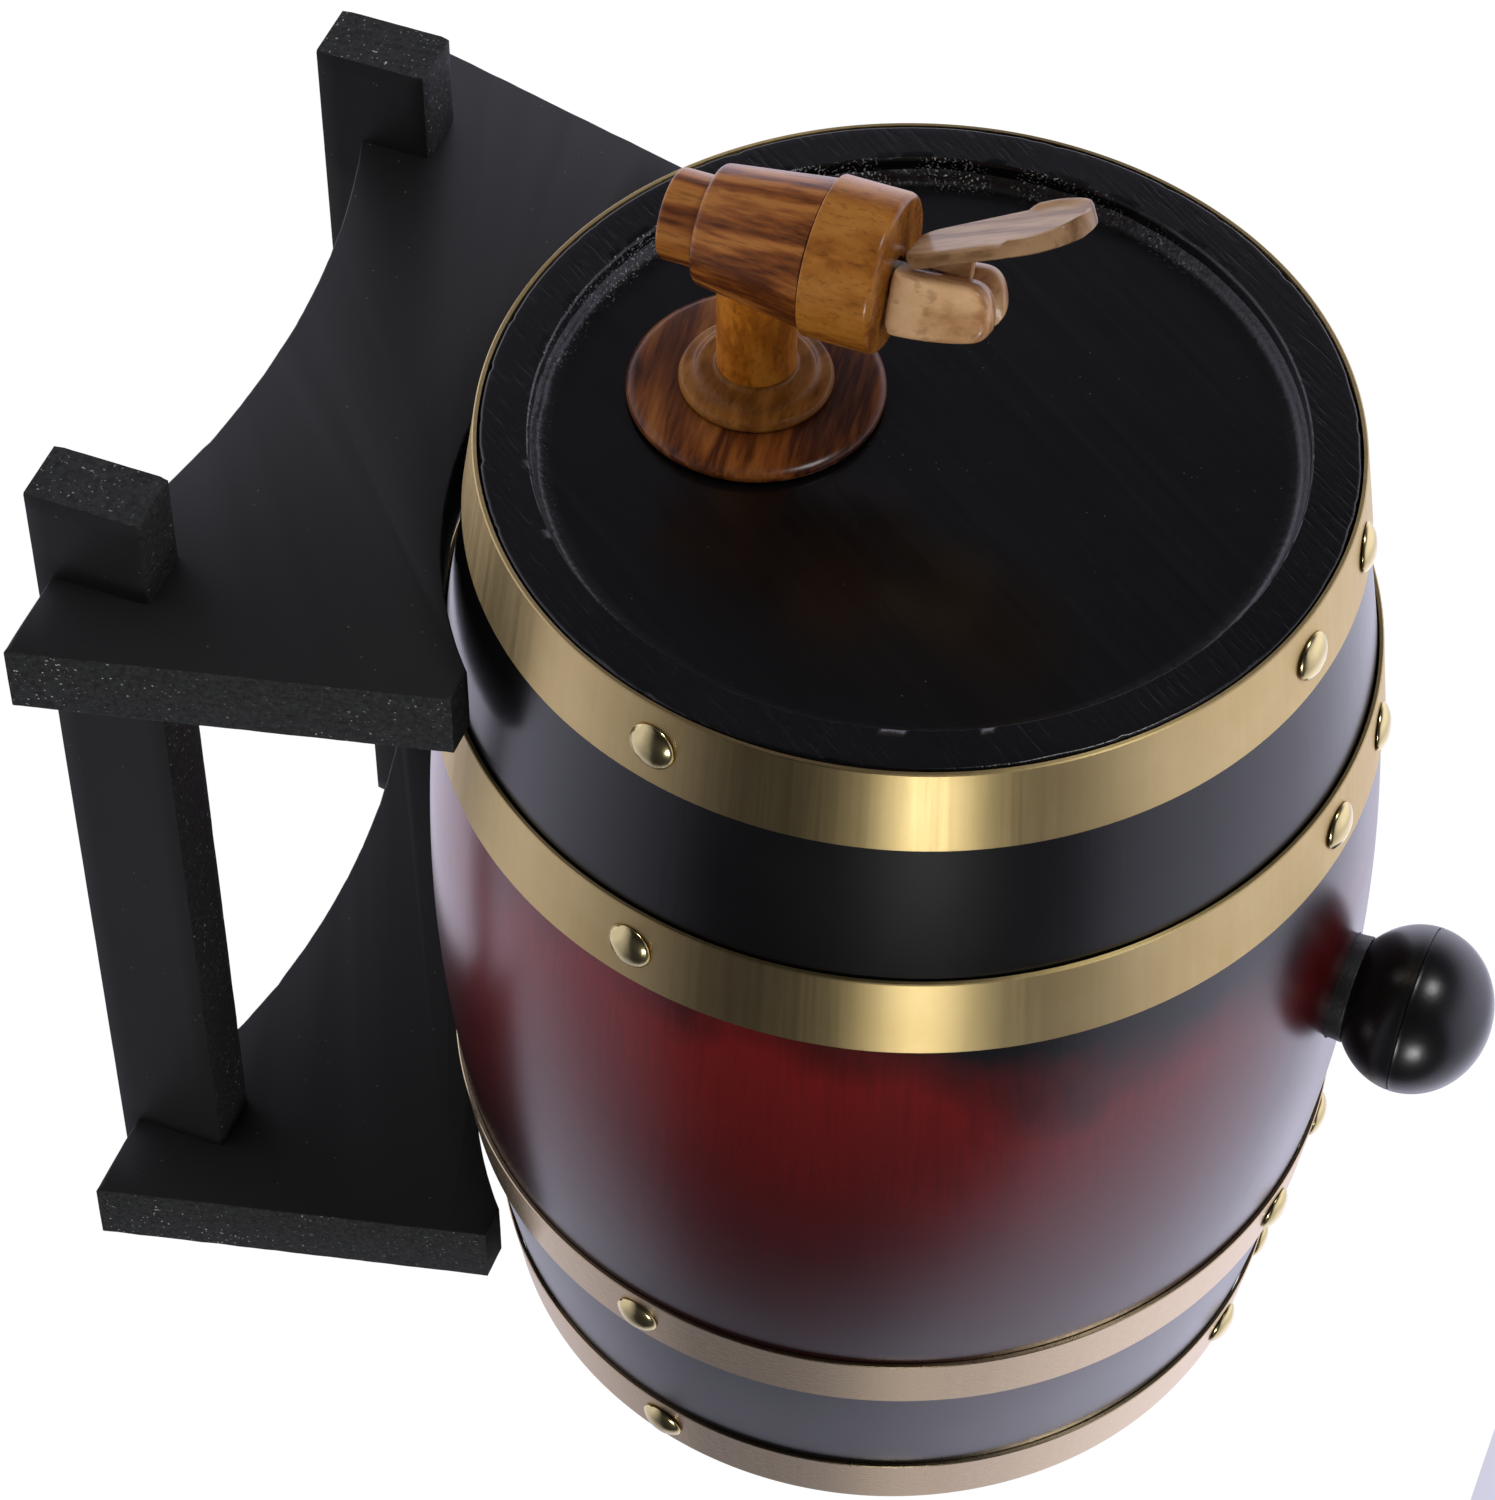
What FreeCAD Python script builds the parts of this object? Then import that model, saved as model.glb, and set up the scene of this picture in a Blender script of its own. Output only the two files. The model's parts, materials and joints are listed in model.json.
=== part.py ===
import FreeCAD, Part
import math
import os
from FreeCAD import Vector

# Small wine barrel lying on a wooden stand, with a push-lever tap and a bung.
# Millimetres. X is to the right seen from the tap end, the tap faces -Y, Z is up.
# The origin is on the floor, under the middle of the stand.
# Barrel pieces are drawn about the barrel's own axis and then put in place.

os.makedirs("parts", exist_ok=True)

# ---- driving dimensions: barrel ----
BARREL_LENGTH = 250.0
END_RADIUS = 84.5
BILGE_RADIUS = 99.0
END_STRAIGHTENING = 4.8        # pulls the profile in, so that the ends run straighter
STAVE_COUNT = 16
BILGE_WALL = 10.0
CHIME_INNER_RADIUS = 74.5
CROZE_DEPTH = 3.0              # groove that holds the head
CROZE_WIDTH = 5.0
CROZE_FROM_END = 7.0
AXIS_HEIGHT = 154.7            # barrel axis above the floor
BARREL_SHIFT_Y = -1.2          # barrel sits a little forward in the stand

# ---- driving dimensions: heads ----
HEAD_RECESS = 5.0
HEAD_THICKNESS = 9.0
HEAD_BOARDS = 4
HEAD_GRAIN_ANGLE = -54.0       # board joints, measured from +X towards +Z
FIT = 0.2

# ---- driving dimensions: hoops and tacks ----
HOOP_THICKNESS = 0.9
HOOP_END_GAP = 0.35            # a hoop stands off the wood at its end-side edge
HOOP_SEAT_GAP = 0.05
FRONT_HOOP_WIDTH = 18.6
REAR_HOOP_WIDTH = 16.0
CHIME_HOOP_FROM_END = 0.2
QUARTER_HOOP_CENTRE = 61.0     # from the barrel's end
SIDE_TACK_ANGLES = (104.0, -104.0)   # round the barrel, from the top towards +X
TACK_RADIUS = 5.0
TACK_DOME = 2.0
TACK_RIM = 0.4
TACK_SHANK_RADIUS = 0.9
TACK_SHANK_LENGTH = 8.0
TACK_HOLE_RADIUS = 0.95

# ---- driving dimensions: bung ----
BUNG_SLOPE = 0.073             # radius gained per millimetre of height
BUNG_RADIUS_AT_WOOD = 11.3
BUNG_BOTTOM = 76.0
BUNG_CLEARANCE = 0.3
BUNG_ANGLE = 1.6               # the bung stands a little off the top, towards +X
KNOB_CENTRE = 114.0
KNOB_RADIUS = 17.7
KNOB_HALF_HEIGHT = 15.9
KNOB_NECK_RADIUS = 11.4
KNOB_STUD_RADIUS = 4.0
KNOB_STUD_BOTTOM = 82.0

# ---- driving dimensions: stand ----
PLATE_THICKNESS = 16.1
PLATE_OUTER_Y = 98.6
PLATE_BOTTOM = 3.6
PLATE_TOP = 88.0
PLATE_HALF_BOTTOM = 94.7
PLATE_HALF_TOP = 74.2
CRADLE_RADIUS = 100.0
CRADLE_CLEARANCE = 0.3
ARCH_HALF_SPAN = 74.0
ARCH_TOP = 18.8
RAIL_INNER_X = 59.8
RAIL_OUTER_X = 74.0
RAIL_TOP = 24.4
RAIL_HALF_LENGTH = 120.6
LAP_TOP = 16.0                 # rail height left inside the halved joint

# ---- driving dimensions: tap ----
TAP_X = -2.5                   # drilled slightly off the barrel's middle plane
TAP_Y = -161.5                 # upright axis of the tap, from the barrel's middle
SHANK_Z = -34.6
SHANK_RADIUS = 7.85
SHANK_BORE = 4.5
SHANK_TAIL_Y = -98.0
SHANK_FRONT_Y = TAP_Y + 10.4
GASKET_THICKNESS = 0.8
ESCUTCHEON_RADIUS = 25.4
ESCUTCHEON_THICKNESS = 2.8
FLANGE_RADIUS = 15.3
FLANGE_THICKNESS = 4.0
NUT_ACROSS_FLATS = 24.0
NUT_THICKNESS = 7.0
INNER_GASKET_THICKNESS = 1.5
SPOUT_BOTTOM = -52.0
SPOUT_RADIUS = 9.0
SPOUT_BORE = 6.2
BODY_BOTTOM = -44.0
BODY_LOW_RADIUS = 12.0
BODY_HIGH_RADIUS = 14.7
BONNET_BOTTOM = -21.2
BONNET_TOP = -6.8
BONNET_RADIUS = 15.7
NECK_TOP = -12.6
NECK_RADIUS = 13.0
CAVITY_FLOOR = -42.0
CAVITY_RADIUS = 10.2
SEAT_RADIUS = 5.4
LEVER_SWIVEL = 22.0            # degrees the lever stands turned to the left
PIN_Z = -1.5
PIN_RADIUS = 1.2
STEM_RADIUS = 3.1
STEM_TONGUE = 4.0
STEM_SHOULDER = -8.9           # below this the stem is round, above it a flat tongue
EAR_INNER = 2.4
EAR_OUTER = 7.2
PADDLE_TILT = 25.5             # degrees forward of upright
PADDLE_ROOT = (6.8, -5.0)      # forward and up, on the front face
PADDLE_LENGTH = 36.0
PADDLE_THICKNESS = 3.0
PADDLE_HALF_ROOT = 7.5
PADDLE_HALF_TIP = 11.0
LIP_START = 21.5
LIP_WIDTH = 1.7
LIP_HEIGHT = 1.2

HALF = BARREL_LENGTH / 2
ORIGIN = Vector(0, 0, 0)
X_AXIS = Vector(1, 0, 0)
Y_AXIS = Vector(0, 1, 0)
Z_AXIS = Vector(0, 0, 1)
BARREL_PLACE = Vector(0, BARREL_SHIFT_Y, AXIS_HEIGHT)
TAP_PLACE = Vector(TAP_X, TAP_Y, 0) + BARREL_PLACE


# ---- helpers ----
def save(name, shape, place=ORIGIN):
    """Write one sub-part, moved to its place in the shared frame."""
    placed = shape.copy()
    placed.translate(place)
    placed.exportStep("parts/" + name + ".step")
    print(name, "volume", round(placed.Volume, 1), "valid", placed.isValid())


def stave_radius(y):
    """Outside radius of the wood at distance y from the middle."""
    t = y / HALF
    swell = (BILGE_RADIUS - END_RADIUS) * t ** 2
    return BILGE_RADIUS - swell - END_STRAIGHTENING * t ** 2 * (1 - t ** 2)


def line(a, b):
    return Part.LineSegment(a, b).toShape()


def chain(points):
    """Straight edges through the points, in order."""
    return [line(a, b) for a, b in zip(points, points[1:])]


def turned(points, axis=Z_AXIS):
    """Solid of revolution from a closed outline of (radius, height) pairs."""
    if axis is Z_AXIS:
        corners = [Vector(r, 0, h) for r, h in points]
    else:
        corners = [Vector(0, h, r) for r, h in points]
    outline = Part.makePolygon(corners + [corners[0]])
    return Part.Face(outline).revolve(ORIGIN, axis, 360)


def rod(radius, bottom, top, axis=Z_AXIS, centre=ORIGIN):
    return Part.makeCylinder(radius, top - bottom, centre + axis * bottom, axis)


def fillet_where(shape, radius, wanted):
    edges = [e for e in shape.Edges if wanted(e)]
    return shape.makeFillet(radius, edges)


# ---- barrel ----
def stave_face():
    """Lengthwise section of a stave, with the croze grooves near its ends."""
    steps = 12
    outer_points = [-HALF + BARREL_LENGTH * i / steps for i in range(steps + 1)]
    outer = Part.BSplineCurve()
    outer.interpolate([Vector(0, y, stave_radius(y)) for y in outer_points])
    groove_start = HALF - CROZE_FROM_END
    groove_end = groove_start - CROZE_WIDTH
    groove_radius = CHIME_INNER_RADIUS + CROZE_DEPTH
    rear = [
        Vector(0, HALF, stave_radius(HALF)),
        Vector(0, HALF, CHIME_INNER_RADIUS),
        Vector(0, groove_start, CHIME_INNER_RADIUS),
        Vector(0, groove_start, groove_radius),
        Vector(0, groove_end, groove_radius),
        Vector(0, groove_end, CHIME_INNER_RADIUS),
    ]
    front = [Vector(0, -p.y, p.z) for p in reversed(rear)]
    crown = Vector(0, 0, BILGE_RADIUS - BILGE_WALL)
    inner = Part.Arc(rear[-1], crown, front[0]).toShape()
    edges = [outer.toShape()] + chain(rear) + [inner] + chain(front)
    return Part.Face(Part.Wire(edges))


def bung_cone(gap, bottom, top):
    low = BUNG_RADIUS_AT_WOOD + gap + BUNG_SLOPE * (bottom - BILGE_RADIUS)
    high = BUNG_RADIUS_AT_WOOD + gap + BUNG_SLOPE * (top - BILGE_RADIUS)
    return Part.makeCone(low, high, top - bottom, Vector(0, 0, bottom))


def hoop_line(centre, width, end_sign):
    """Inner face of a hoop: place and radius of its bilge-side edge, then of its end-side edge."""
    inside = centre - end_sign * width / 2
    outside = centre + end_sign * width / 2
    low = stave_radius(inside) + HOOP_SEAT_GAP
    high = stave_radius(outside) + HOOP_END_GAP
    return inside, low, outside, high


def make_hoop(line_ends):
    inside, low, outside, high = line_ends
    outline = [
        (low, inside),
        (high, outside),
        (high + HOOP_THICKNESS, outside),
        (low + HOOP_THICKNESS, inside),
    ]
    return turned(outline, Y_AXIS)


def on_hoop(shape, line_ends, angle):
    """Stand a piece drawn on the XY plane on the hoop's face at an angle from the top."""
    inside, low, outside, high = line_ends
    slope = math.degrees(math.atan((high - low) / (outside - inside)))
    placed = shape.copy()
    placed.rotate(ORIGIN, X_AXIS, slope)
    placed.translate(Vector(0, (inside + outside) / 2, (low + high) / 2 + HOOP_THICKNESS))
    placed.rotate(ORIGIN, Y_AXIS, angle)
    return placed


def make_tack():
    dome_radius = (TACK_RADIUS ** 2 + TACK_DOME ** 2) / (2 * TACK_DOME)
    top = TACK_RIM + TACK_DOME
    ball = Part.makeSphere(dome_radius, Vector(0, 0, top - dome_radius))
    head = ball.common(rod(TACK_RADIUS, TACK_RIM, top + 1))
    rim = rod(TACK_RADIUS, 0.05, TACK_RIM)
    shank = rod(TACK_SHANK_RADIUS, -TACK_SHANK_LENGTH + 1.5, 0.2)
    point = Part.makeCone(0.1, TACK_SHANK_RADIUS, 1.5, Vector(0, 0, -TACK_SHANK_LENGTH))
    return head.fuse([rim, shank, point]).removeSplitter()


FRONT_CHIME_CENTRE = -(HALF - CHIME_HOOP_FROM_END - FRONT_HOOP_WIDTH / 2)
REAR_CHIME_CENTRE = HALF - CHIME_HOOP_FROM_END - REAR_HOOP_WIDTH / 2
# each hoop ends with the angles of its own two upper tacks, which were driven by eye
HOOPS = (
    ("front_chime_hoop", FRONT_CHIME_CENTRE, FRONT_HOOP_WIDTH, -1, (-7.2, 12.6)),
    ("front_quarter_hoop", -(HALF - QUARTER_HOOP_CENTRE), FRONT_HOOP_WIDTH, -1, (-7.7, 8.7)),
    ("rear_quarter_hoop", HALF - QUARTER_HOOP_CENTRE, REAR_HOOP_WIDTH, 1, (-5.9, 10.4)),
    ("rear_chime_hoop", REAR_CHIME_CENTRE, REAR_HOOP_WIDTH, 1, (-7.0, 9.9)),
)


def make_barrel():
    hole = rod(TACK_HOLE_RADIUS, -TACK_SHANK_LENGTH - 0.2, 1.0)
    tack = make_tack()
    holes = []
    for name, centre, width, end_sign, upper_angles in HOOPS:
        angles = upper_angles + SIDE_TACK_ANGLES
        line_ends = hoop_line(centre, width, end_sign)
        own_holes = [on_hoop(hole, line_ends, angle) for angle in angles]
        save(name, make_hoop(line_ends).cut(own_holes), BARREL_PLACE)
        tacks = [on_hoop(tack, line_ends, angle) for angle in angles]
        save(name.replace("hoop", "tacks"), Part.makeCompound(tacks), BARREL_PLACE)
        holes += own_holes
    section = stave_face()
    stave_angle = 360.0 / STAVE_COUNT
    bung_hole = bung_cone(BUNG_CLEARANCE, BILGE_RADIUS - 20, BILGE_RADIUS + 5)
    bung_hole.rotate(ORIGIN, Y_AXIS, BUNG_ANGLE)
    for number in range(STAVE_COUNT):
        start = section.copy()
        start.rotate(ORIGIN, Y_AXIS, (number - 0.5) * stave_angle)
        stave = start.revolve(ORIGIN, Y_AXIS, stave_angle)
        cutters = [h for h in holes if h.BoundBox.intersect(stave.BoundBox)]
        if number == 0:
            cutters.append(bung_hole)
        if cutters:
            stave = stave.cut(cutters)
        save("stave_%02d" % (number + 1), stave, BARREL_PLACE)


# ---- heads ----
def head_disc():
    """Round head, front face towards -Y, with the tongue that sits in the croze."""
    face = -HALF + HEAD_RECESS
    tongue_front = -HALF + CROZE_FROM_END + 0.1
    tongue_back = tongue_front + CROZE_WIDTH - FIT
    back = face + HEAD_THICKNESS
    disc_radius = CHIME_INNER_RADIUS - FIT
    tongue_radius = CHIME_INNER_RADIUS + CROZE_DEPTH - FIT
    outline = [
        (0, face),
        (disc_radius, face),
        (disc_radius, tongue_front),
        (tongue_radius, tongue_front),
        (tongue_radius, tongue_back),
        (disc_radius, tongue_back),
        (disc_radius - 2.0, back),
        (0, back),
    ]
    return turned(outline, Y_AXIS)


def split_boards(disc):
    """Cut a head into parallel boards."""
    radius = CHIME_INNER_RADIUS + CROZE_DEPTH
    width = 2 * radius / HEAD_BOARDS
    boards = []
    for index in range(HEAD_BOARDS):
        low = -radius + index * width
        slab = Part.makeBox(4 * radius, 2 * BARREL_LENGTH, width, Vector(-2 * radius, -BARREL_LENGTH, low))
        slab.rotate(ORIGIN, Y_AXIS, -HEAD_GRAIN_ANGLE)
        boards.append(disc.common(slab))
    return boards


def make_heads():
    disc = head_disc()
    tap_hole = rod(SHANK_RADIUS + 0.35, -HALF, -HALF + 30, Y_AXIS, Vector(TAP_X, 0, SHANK_Z))
    front = disc.cut(tap_hole)
    rear = disc.copy()
    rear.rotate(ORIGIN, Z_AXIS, 180)
    for name, whole in (("front", front), ("rear", rear)):
        for number, board in enumerate(split_boards(whole), 1):
            save("%s_head_board_%d" % (name, number), board, BARREL_PLACE)


# ---- bung ----
def ball_point(turn):
    """Point on the ball's outline, at an angle above its equator."""
    return Vector(KNOB_RADIUS * math.cos(turn), 0, KNOB_CENTRE + KNOB_HALF_HEIGHT * math.sin(turn))


def make_bung():
    """Ball handle with a stud, moulded into a tapered rubber plug."""
    neck_share = math.sqrt(1 - (KNOB_NECK_RADIUS / KNOB_RADIUS) ** 2)
    neck_height = KNOB_CENTRE - KNOB_HALF_HEIGHT * neck_share
    steps = 12
    lowest = -math.asin(neck_share)
    turns = [lowest + (math.pi / 2 - lowest) * i / steps for i in range(steps + 1)]
    ball = Part.BSplineCurve()
    ball.interpolate([ball_point(t) for t in turns])
    top = Vector(0, 0, KNOB_CENTRE + KNOB_HALF_HEIGHT)
    corners = [
        top,
        Vector(0, 0, KNOB_STUD_BOTTOM),
        Vector(KNOB_STUD_RADIUS, 0, KNOB_STUD_BOTTOM),
        Vector(KNOB_STUD_RADIUS, 0, neck_height),
        ball.StartPoint,
    ]
    section = Part.Face(Part.Wire([ball.toShape()] + chain(corners)))
    knob = section.revolve(ORIGIN, Z_AXIS, 360)
    knob.rotate(ORIGIN, Y_AXIS, BUNG_ANGLE)
    save("bung_knob", knob, BARREL_PLACE)
    plug = bung_cone(0, BUNG_BOTTOM, neck_height)
    plug = plug.cut(rod(KNOB_STUD_RADIUS + 0.02, KNOB_STUD_BOTTOM - 0.02, neck_height + 1))
    plug = fillet_where(plug, 1.5, lambda e: e.BoundBox.ZMax < BUNG_BOTTOM + 0.01)
    plug.rotate(ORIGIN, Y_AXIS, BUNG_ANGLE)
    save("bung_plug", plug, BARREL_PLACE)


# ---- stand ----
def cradle_centre():
    """Height of the cradle's centre: its lowest point just clears the barrel."""
    inner_y = PLATE_OUTER_Y - PLATE_THICKNESS
    widest = stave_radius(inner_y - abs(BARREL_SHIFT_Y))
    return AXIS_HEIGHT - widest - CRADLE_CLEARANCE + CRADLE_RADIUS


def make_plate():
    """Upright stand plate: sloping sides, cradle arc, arch below and two rail slots."""
    centre_z = cradle_centre()
    reach = math.sqrt(CRADLE_RADIUS ** 2 - (centre_z - PLATE_TOP) ** 2)
    bottom_left = Vector(-PLATE_HALF_BOTTOM, 0, PLATE_BOTTOM)
    bottom_right = Vector(PLATE_HALF_BOTTOM, 0, PLATE_BOTTOM)
    top_right = Vector(PLATE_HALF_TOP, 0, PLATE_TOP)
    horn_right = Vector(reach, 0, PLATE_TOP)
    horn_left = Vector(-reach, 0, PLATE_TOP)
    top_left = Vector(-PLATE_HALF_TOP, 0, PLATE_TOP)
    arch_left = Vector(-ARCH_HALF_SPAN, 0, PLATE_BOTTOM)
    arch_right = Vector(ARCH_HALF_SPAN, 0, PLATE_BOTTOM)
    cradle = Part.Arc(horn_right, Vector(0, 0, centre_z - CRADLE_RADIUS), horn_left)
    arch = Part.Arc(arch_left, Vector(0, 0, ARCH_TOP), arch_right)
    edges = chain([arch_right, bottom_right, top_right, horn_right])
    edges += [cradle.toShape()]
    edges += chain([horn_left, top_left, bottom_left, arch_left])
    edges += [arch.toShape()]
    plate = Part.Face(Part.Wire(edges)).extrude(Vector(0, PLATE_THICKNESS, 0))
    plate = fillet_where(plate, 0.8, lambda e: e.Length > PLATE_THICKNESS + 0.1
                         and e.BoundBox.ZMax > RAIL_TOP)
    slot_width = RAIL_OUTER_X - RAIL_INNER_X
    for side in (-1, 1):
        middle = side * (RAIL_INNER_X + RAIL_OUTER_X) / 2
        corner = Vector(middle - slot_width / 2, -1, 0)
        # above the halved part of the rail the slot is closed by the plate itself
        plate = plate.cut(Part.makeBox(slot_width, PLATE_THICKNESS + 2, LAP_TOP, corner))
    return plate


def make_rail(side):
    """Lengthwise rail, notched from above where the plates cross it."""
    width = RAIL_OUTER_X - RAIL_INNER_X
    left = RAIL_INNER_X if side > 0 else -RAIL_OUTER_X
    rail = Part.makeBox(width, 2 * RAIL_HALF_LENGTH, RAIL_TOP, Vector(left, -RAIL_HALF_LENGTH, 0))
    for start in (-PLATE_OUTER_Y, PLATE_OUTER_Y - PLATE_THICKNESS):
        corner = Vector(left - 1, start, LAP_TOP)
        rail = rail.cut(Part.makeBox(width + 2, PLATE_THICKNESS, RAIL_TOP, corner))
    return rail


def make_stand():
    plate = make_plate()
    save("front_plate", plate, Vector(0, -PLATE_OUTER_Y, 0))
    save("rear_plate", plate, Vector(0, PLATE_OUTER_Y - PLATE_THICKNESS, 0))
    save("left_rail", make_rail(-1))
    save("right_rail", make_rail(1))


# ---- tap: pieces along the shank ----
def along_shank(shape):
    """Move a piece turned about the Y axis onto the shank's centre line."""
    moved = shape.copy()
    moved.translate(Vector(TAP_X, 0, SHANK_Z))
    return moved


def make_shank_pieces():
    head_front = -HALF + HEAD_RECESS
    head_back = head_front + HEAD_THICKNESS
    plate_back = head_front - GASKET_THICKNESS
    plate_front = plate_back - ESCUTCHEON_THICKNESS
    flange_front = plate_front - FLANGE_THICKNESS
    hole = SHANK_RADIUS + 0.1
    gasket = turned([(hole, head_front), (22.0, head_front), (22.0, plate_back), (hole, plate_back)], Y_AXIS)
    save("outer_gasket", along_shank(gasket), BARREL_PLACE)

    rim = ESCUTCHEON_RADIUS
    escutcheon = turned([
        (hole, plate_back),
        (rim - 0.5, plate_back),
        (rim, plate_back - 0.5),
        (rim, plate_back - 1.3),
        (rim - 0.4, plate_back - 1.9),
        (rim - 1.4, plate_back - 2.3),
        (rim - 8.0, plate_front),
        (hole, plate_front),
    ], Y_AXIS)
    save("escutcheon", along_shank(escutcheon), BARREL_PLACE)

    shank = turned([
        (SHANK_BORE, SHANK_TAIL_Y),
        (SHANK_RADIUS - 0.8, SHANK_TAIL_Y),
        (SHANK_RADIUS, SHANK_TAIL_Y - 0.8),
        (SHANK_RADIUS, plate_front),
        (FLANGE_RADIUS - 0.8, plate_front),
        (FLANGE_RADIUS, plate_front - 0.8),
        (FLANGE_RADIUS, plate_front - 1.6),
        (FLANGE_RADIUS - 0.7, plate_front - 2.8),
        (FLANGE_RADIUS - 2.2, plate_front - 3.6),
        (FLANGE_RADIUS - 4.4, flange_front),
        (SHANK_RADIUS, flange_front),
        (SHANK_RADIUS, SHANK_FRONT_Y),
        (SHANK_BORE, SHANK_FRONT_Y),
    ], Y_AXIS)
    save("tap_shank", along_shank(shank), BARREL_PLACE)

    seal_back = head_back + INNER_GASKET_THICKNESS
    seal = turned([(hole, head_back), (13.0, head_back), (13.0, seal_back), (hole, seal_back)], Y_AXIS)
    save("inner_gasket", along_shank(seal), BARREL_PLACE)

    corner_radius = NUT_ACROSS_FLATS / 2 / math.cos(math.pi / 6)
    turns = [math.radians(60 * i) for i in range(7)]
    corners = [Vector(corner_radius * math.cos(t), seal_back, corner_radius * math.sin(t)) for t in turns]
    nut = Part.Face(Part.makePolygon(corners)).extrude(Vector(0, NUT_THICKNESS, 0))
    nut = nut.cut(rod(SHANK_RADIUS + 0.03, seal_back - 1, seal_back + NUT_THICKNESS + 1, Y_AXIS))
    save("back_nut", along_shank(nut), BARREL_PLACE)


# ---- tap: pieces on the upright axis ----
def make_tap_body():
    outline = [
        (SPOUT_BORE, SPOUT_BOTTOM),
        (SPOUT_RADIUS - 0.7, SPOUT_BOTTOM),
        (SPOUT_RADIUS, SPOUT_BOTTOM + 0.7),
        (SPOUT_RADIUS, BODY_BOTTOM),
        (BODY_LOW_RADIUS - 1.0, BODY_BOTTOM),
        (BODY_LOW_RADIUS - 0.3, BODY_BOTTOM + 0.3),
        (BODY_LOW_RADIUS, BODY_BOTTOM + 1.0),
        (BODY_HIGH_RADIUS, BONNET_BOTTOM - 0.2),
        (NECK_RADIUS, BONNET_BOTTOM - 0.2),
        (NECK_RADIUS, NECK_TOP),
        (CAVITY_RADIUS, NECK_TOP),
        (CAVITY_RADIUS, CAVITY_FLOOR),
        (SEAT_RADIUS, CAVITY_FLOOR),
        (SEAT_RADIUS, CAVITY_FLOOR - 1.5),
        (SPOUT_BORE, CAVITY_FLOOR - 2.5),
    ]
    body = turned(outline)
    socket = rod(SHANK_RADIUS, 5.0, 20.0, Y_AXIS, Vector(0, 0, SHANK_Z))
    save("tap_body", body.cut(socket), TAP_PLACE)


def make_bonnet():
    ceiling = NECK_TOP + 1.2
    bore = NECK_RADIUS + 0.15
    stem_hole = STEM_RADIUS + 0.4
    outline = [
        (bore, BONNET_BOTTOM),
        (BONNET_RADIUS - 0.4, BONNET_BOTTOM),
        (BONNET_RADIUS, BONNET_BOTTOM + 0.4),
        (BONNET_RADIUS, BONNET_TOP - 3.0),
        (BONNET_RADIUS - 0.5, BONNET_TOP - 1.4),
        (BONNET_RADIUS - 1.3, BONNET_TOP - 0.4),
        (BONNET_RADIUS - 2.3, BONNET_TOP),
        (stem_hole, BONNET_TOP),
        (stem_hole, ceiling),
        (bore, ceiling),
    ]
    save("bonnet", turned(outline), TAP_PLACE)


def make_seat():
    """Silicone bellows clamped under the bonnet, and the plug that closes the spout."""
    wall = 1.2
    plug_top = CAVITY_FLOOR + 5.0
    waist = 6.6
    bellows = turned([
        (STEM_RADIUS + 0.5, NECK_TOP + 1.15),
        (NECK_RADIUS - 0.2, NECK_TOP + 1.15),
        (NECK_RADIUS - 0.2, NECK_TOP + 0.02),
        (waist + 2.6, NECK_TOP + 0.02),
        (waist, NECK_TOP - 11.0),
        (waist, plug_top + 0.02),
        (waist - wall, plug_top + 0.02),
        (waist - wall, NECK_TOP - 10.8),
        (waist + 1.2, NECK_TOP + 0.02),
        (STEM_RADIUS + 0.5, NECK_TOP + 0.02),
    ])
    save("seat_bellows", bellows, TAP_PLACE)
    plug = turned([
        (0, CAVITY_FLOOR + 0.15),
        (6.8, CAVITY_FLOOR + 0.15),
        (7.6, CAVITY_FLOOR + 1.0),
        (7.6, plug_top),
        (2.4, plug_top),
        (2.4, plug_top - 1.1),
        (3.4, plug_top - 1.1),
        (3.4, plug_top - 2.8),
        (0, plug_top - 2.8),
    ])
    save("valve_plug", plug, TAP_PLACE)


# ---- tap: lever, drawn with x sideways, y forward as -Y, then swivelled ----
def swivelled(shape):
    """Turn a piece drawn facing -Y to the way the lever stands."""
    moved = shape.copy()
    moved.rotate(ORIGIN, Z_AXIS, -LEVER_SWIVEL)
    return moved


def side_plate(points, inner, outer):
    """Prism across the lever from an outline of (forward, up) points."""
    corners = [Vector(inner, -forward, up) for forward, up in points]
    face = Part.Face(Part.makePolygon(corners + [corners[0]]))
    return face.extrude(Vector(outer - inner, 0, 0))


def make_stem():
    rod_bottom = CAVITY_FLOOR + 5.15
    lower = turned([
        (0, rod_bottom - 2.7),
        (3.1, rod_bottom - 2.7),
        (3.1, rod_bottom - 1.5),
        (2.1, rod_bottom - 1.5),
        (2.1, rod_bottom),
        (STEM_RADIUS, rod_bottom),
        (STEM_RADIUS, STEM_SHOULDER),
        (0, STEM_SHOULDER),
    ])
    half = STEM_TONGUE / 2
    height = PIN_Z + 3.2 - STEM_SHOULDER
    tongue = Part.makeBox(STEM_TONGUE, 4.8, height, Vector(-half, -2.4, STEM_SHOULDER))
    tongue = fillet_where(tongue, 1.6, lambda e: e.BoundBox.ZMin > PIN_Z and e.BoundBox.XLength > half)
    stem = lower.fuse(tongue)
    stem = stem.cut(rod(PIN_RADIUS + 0.02, -5, 5, X_AXIS, Vector(0, 0, PIN_Z)))
    save("valve_stem", swivelled(stem), TAP_PLACE)


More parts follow.
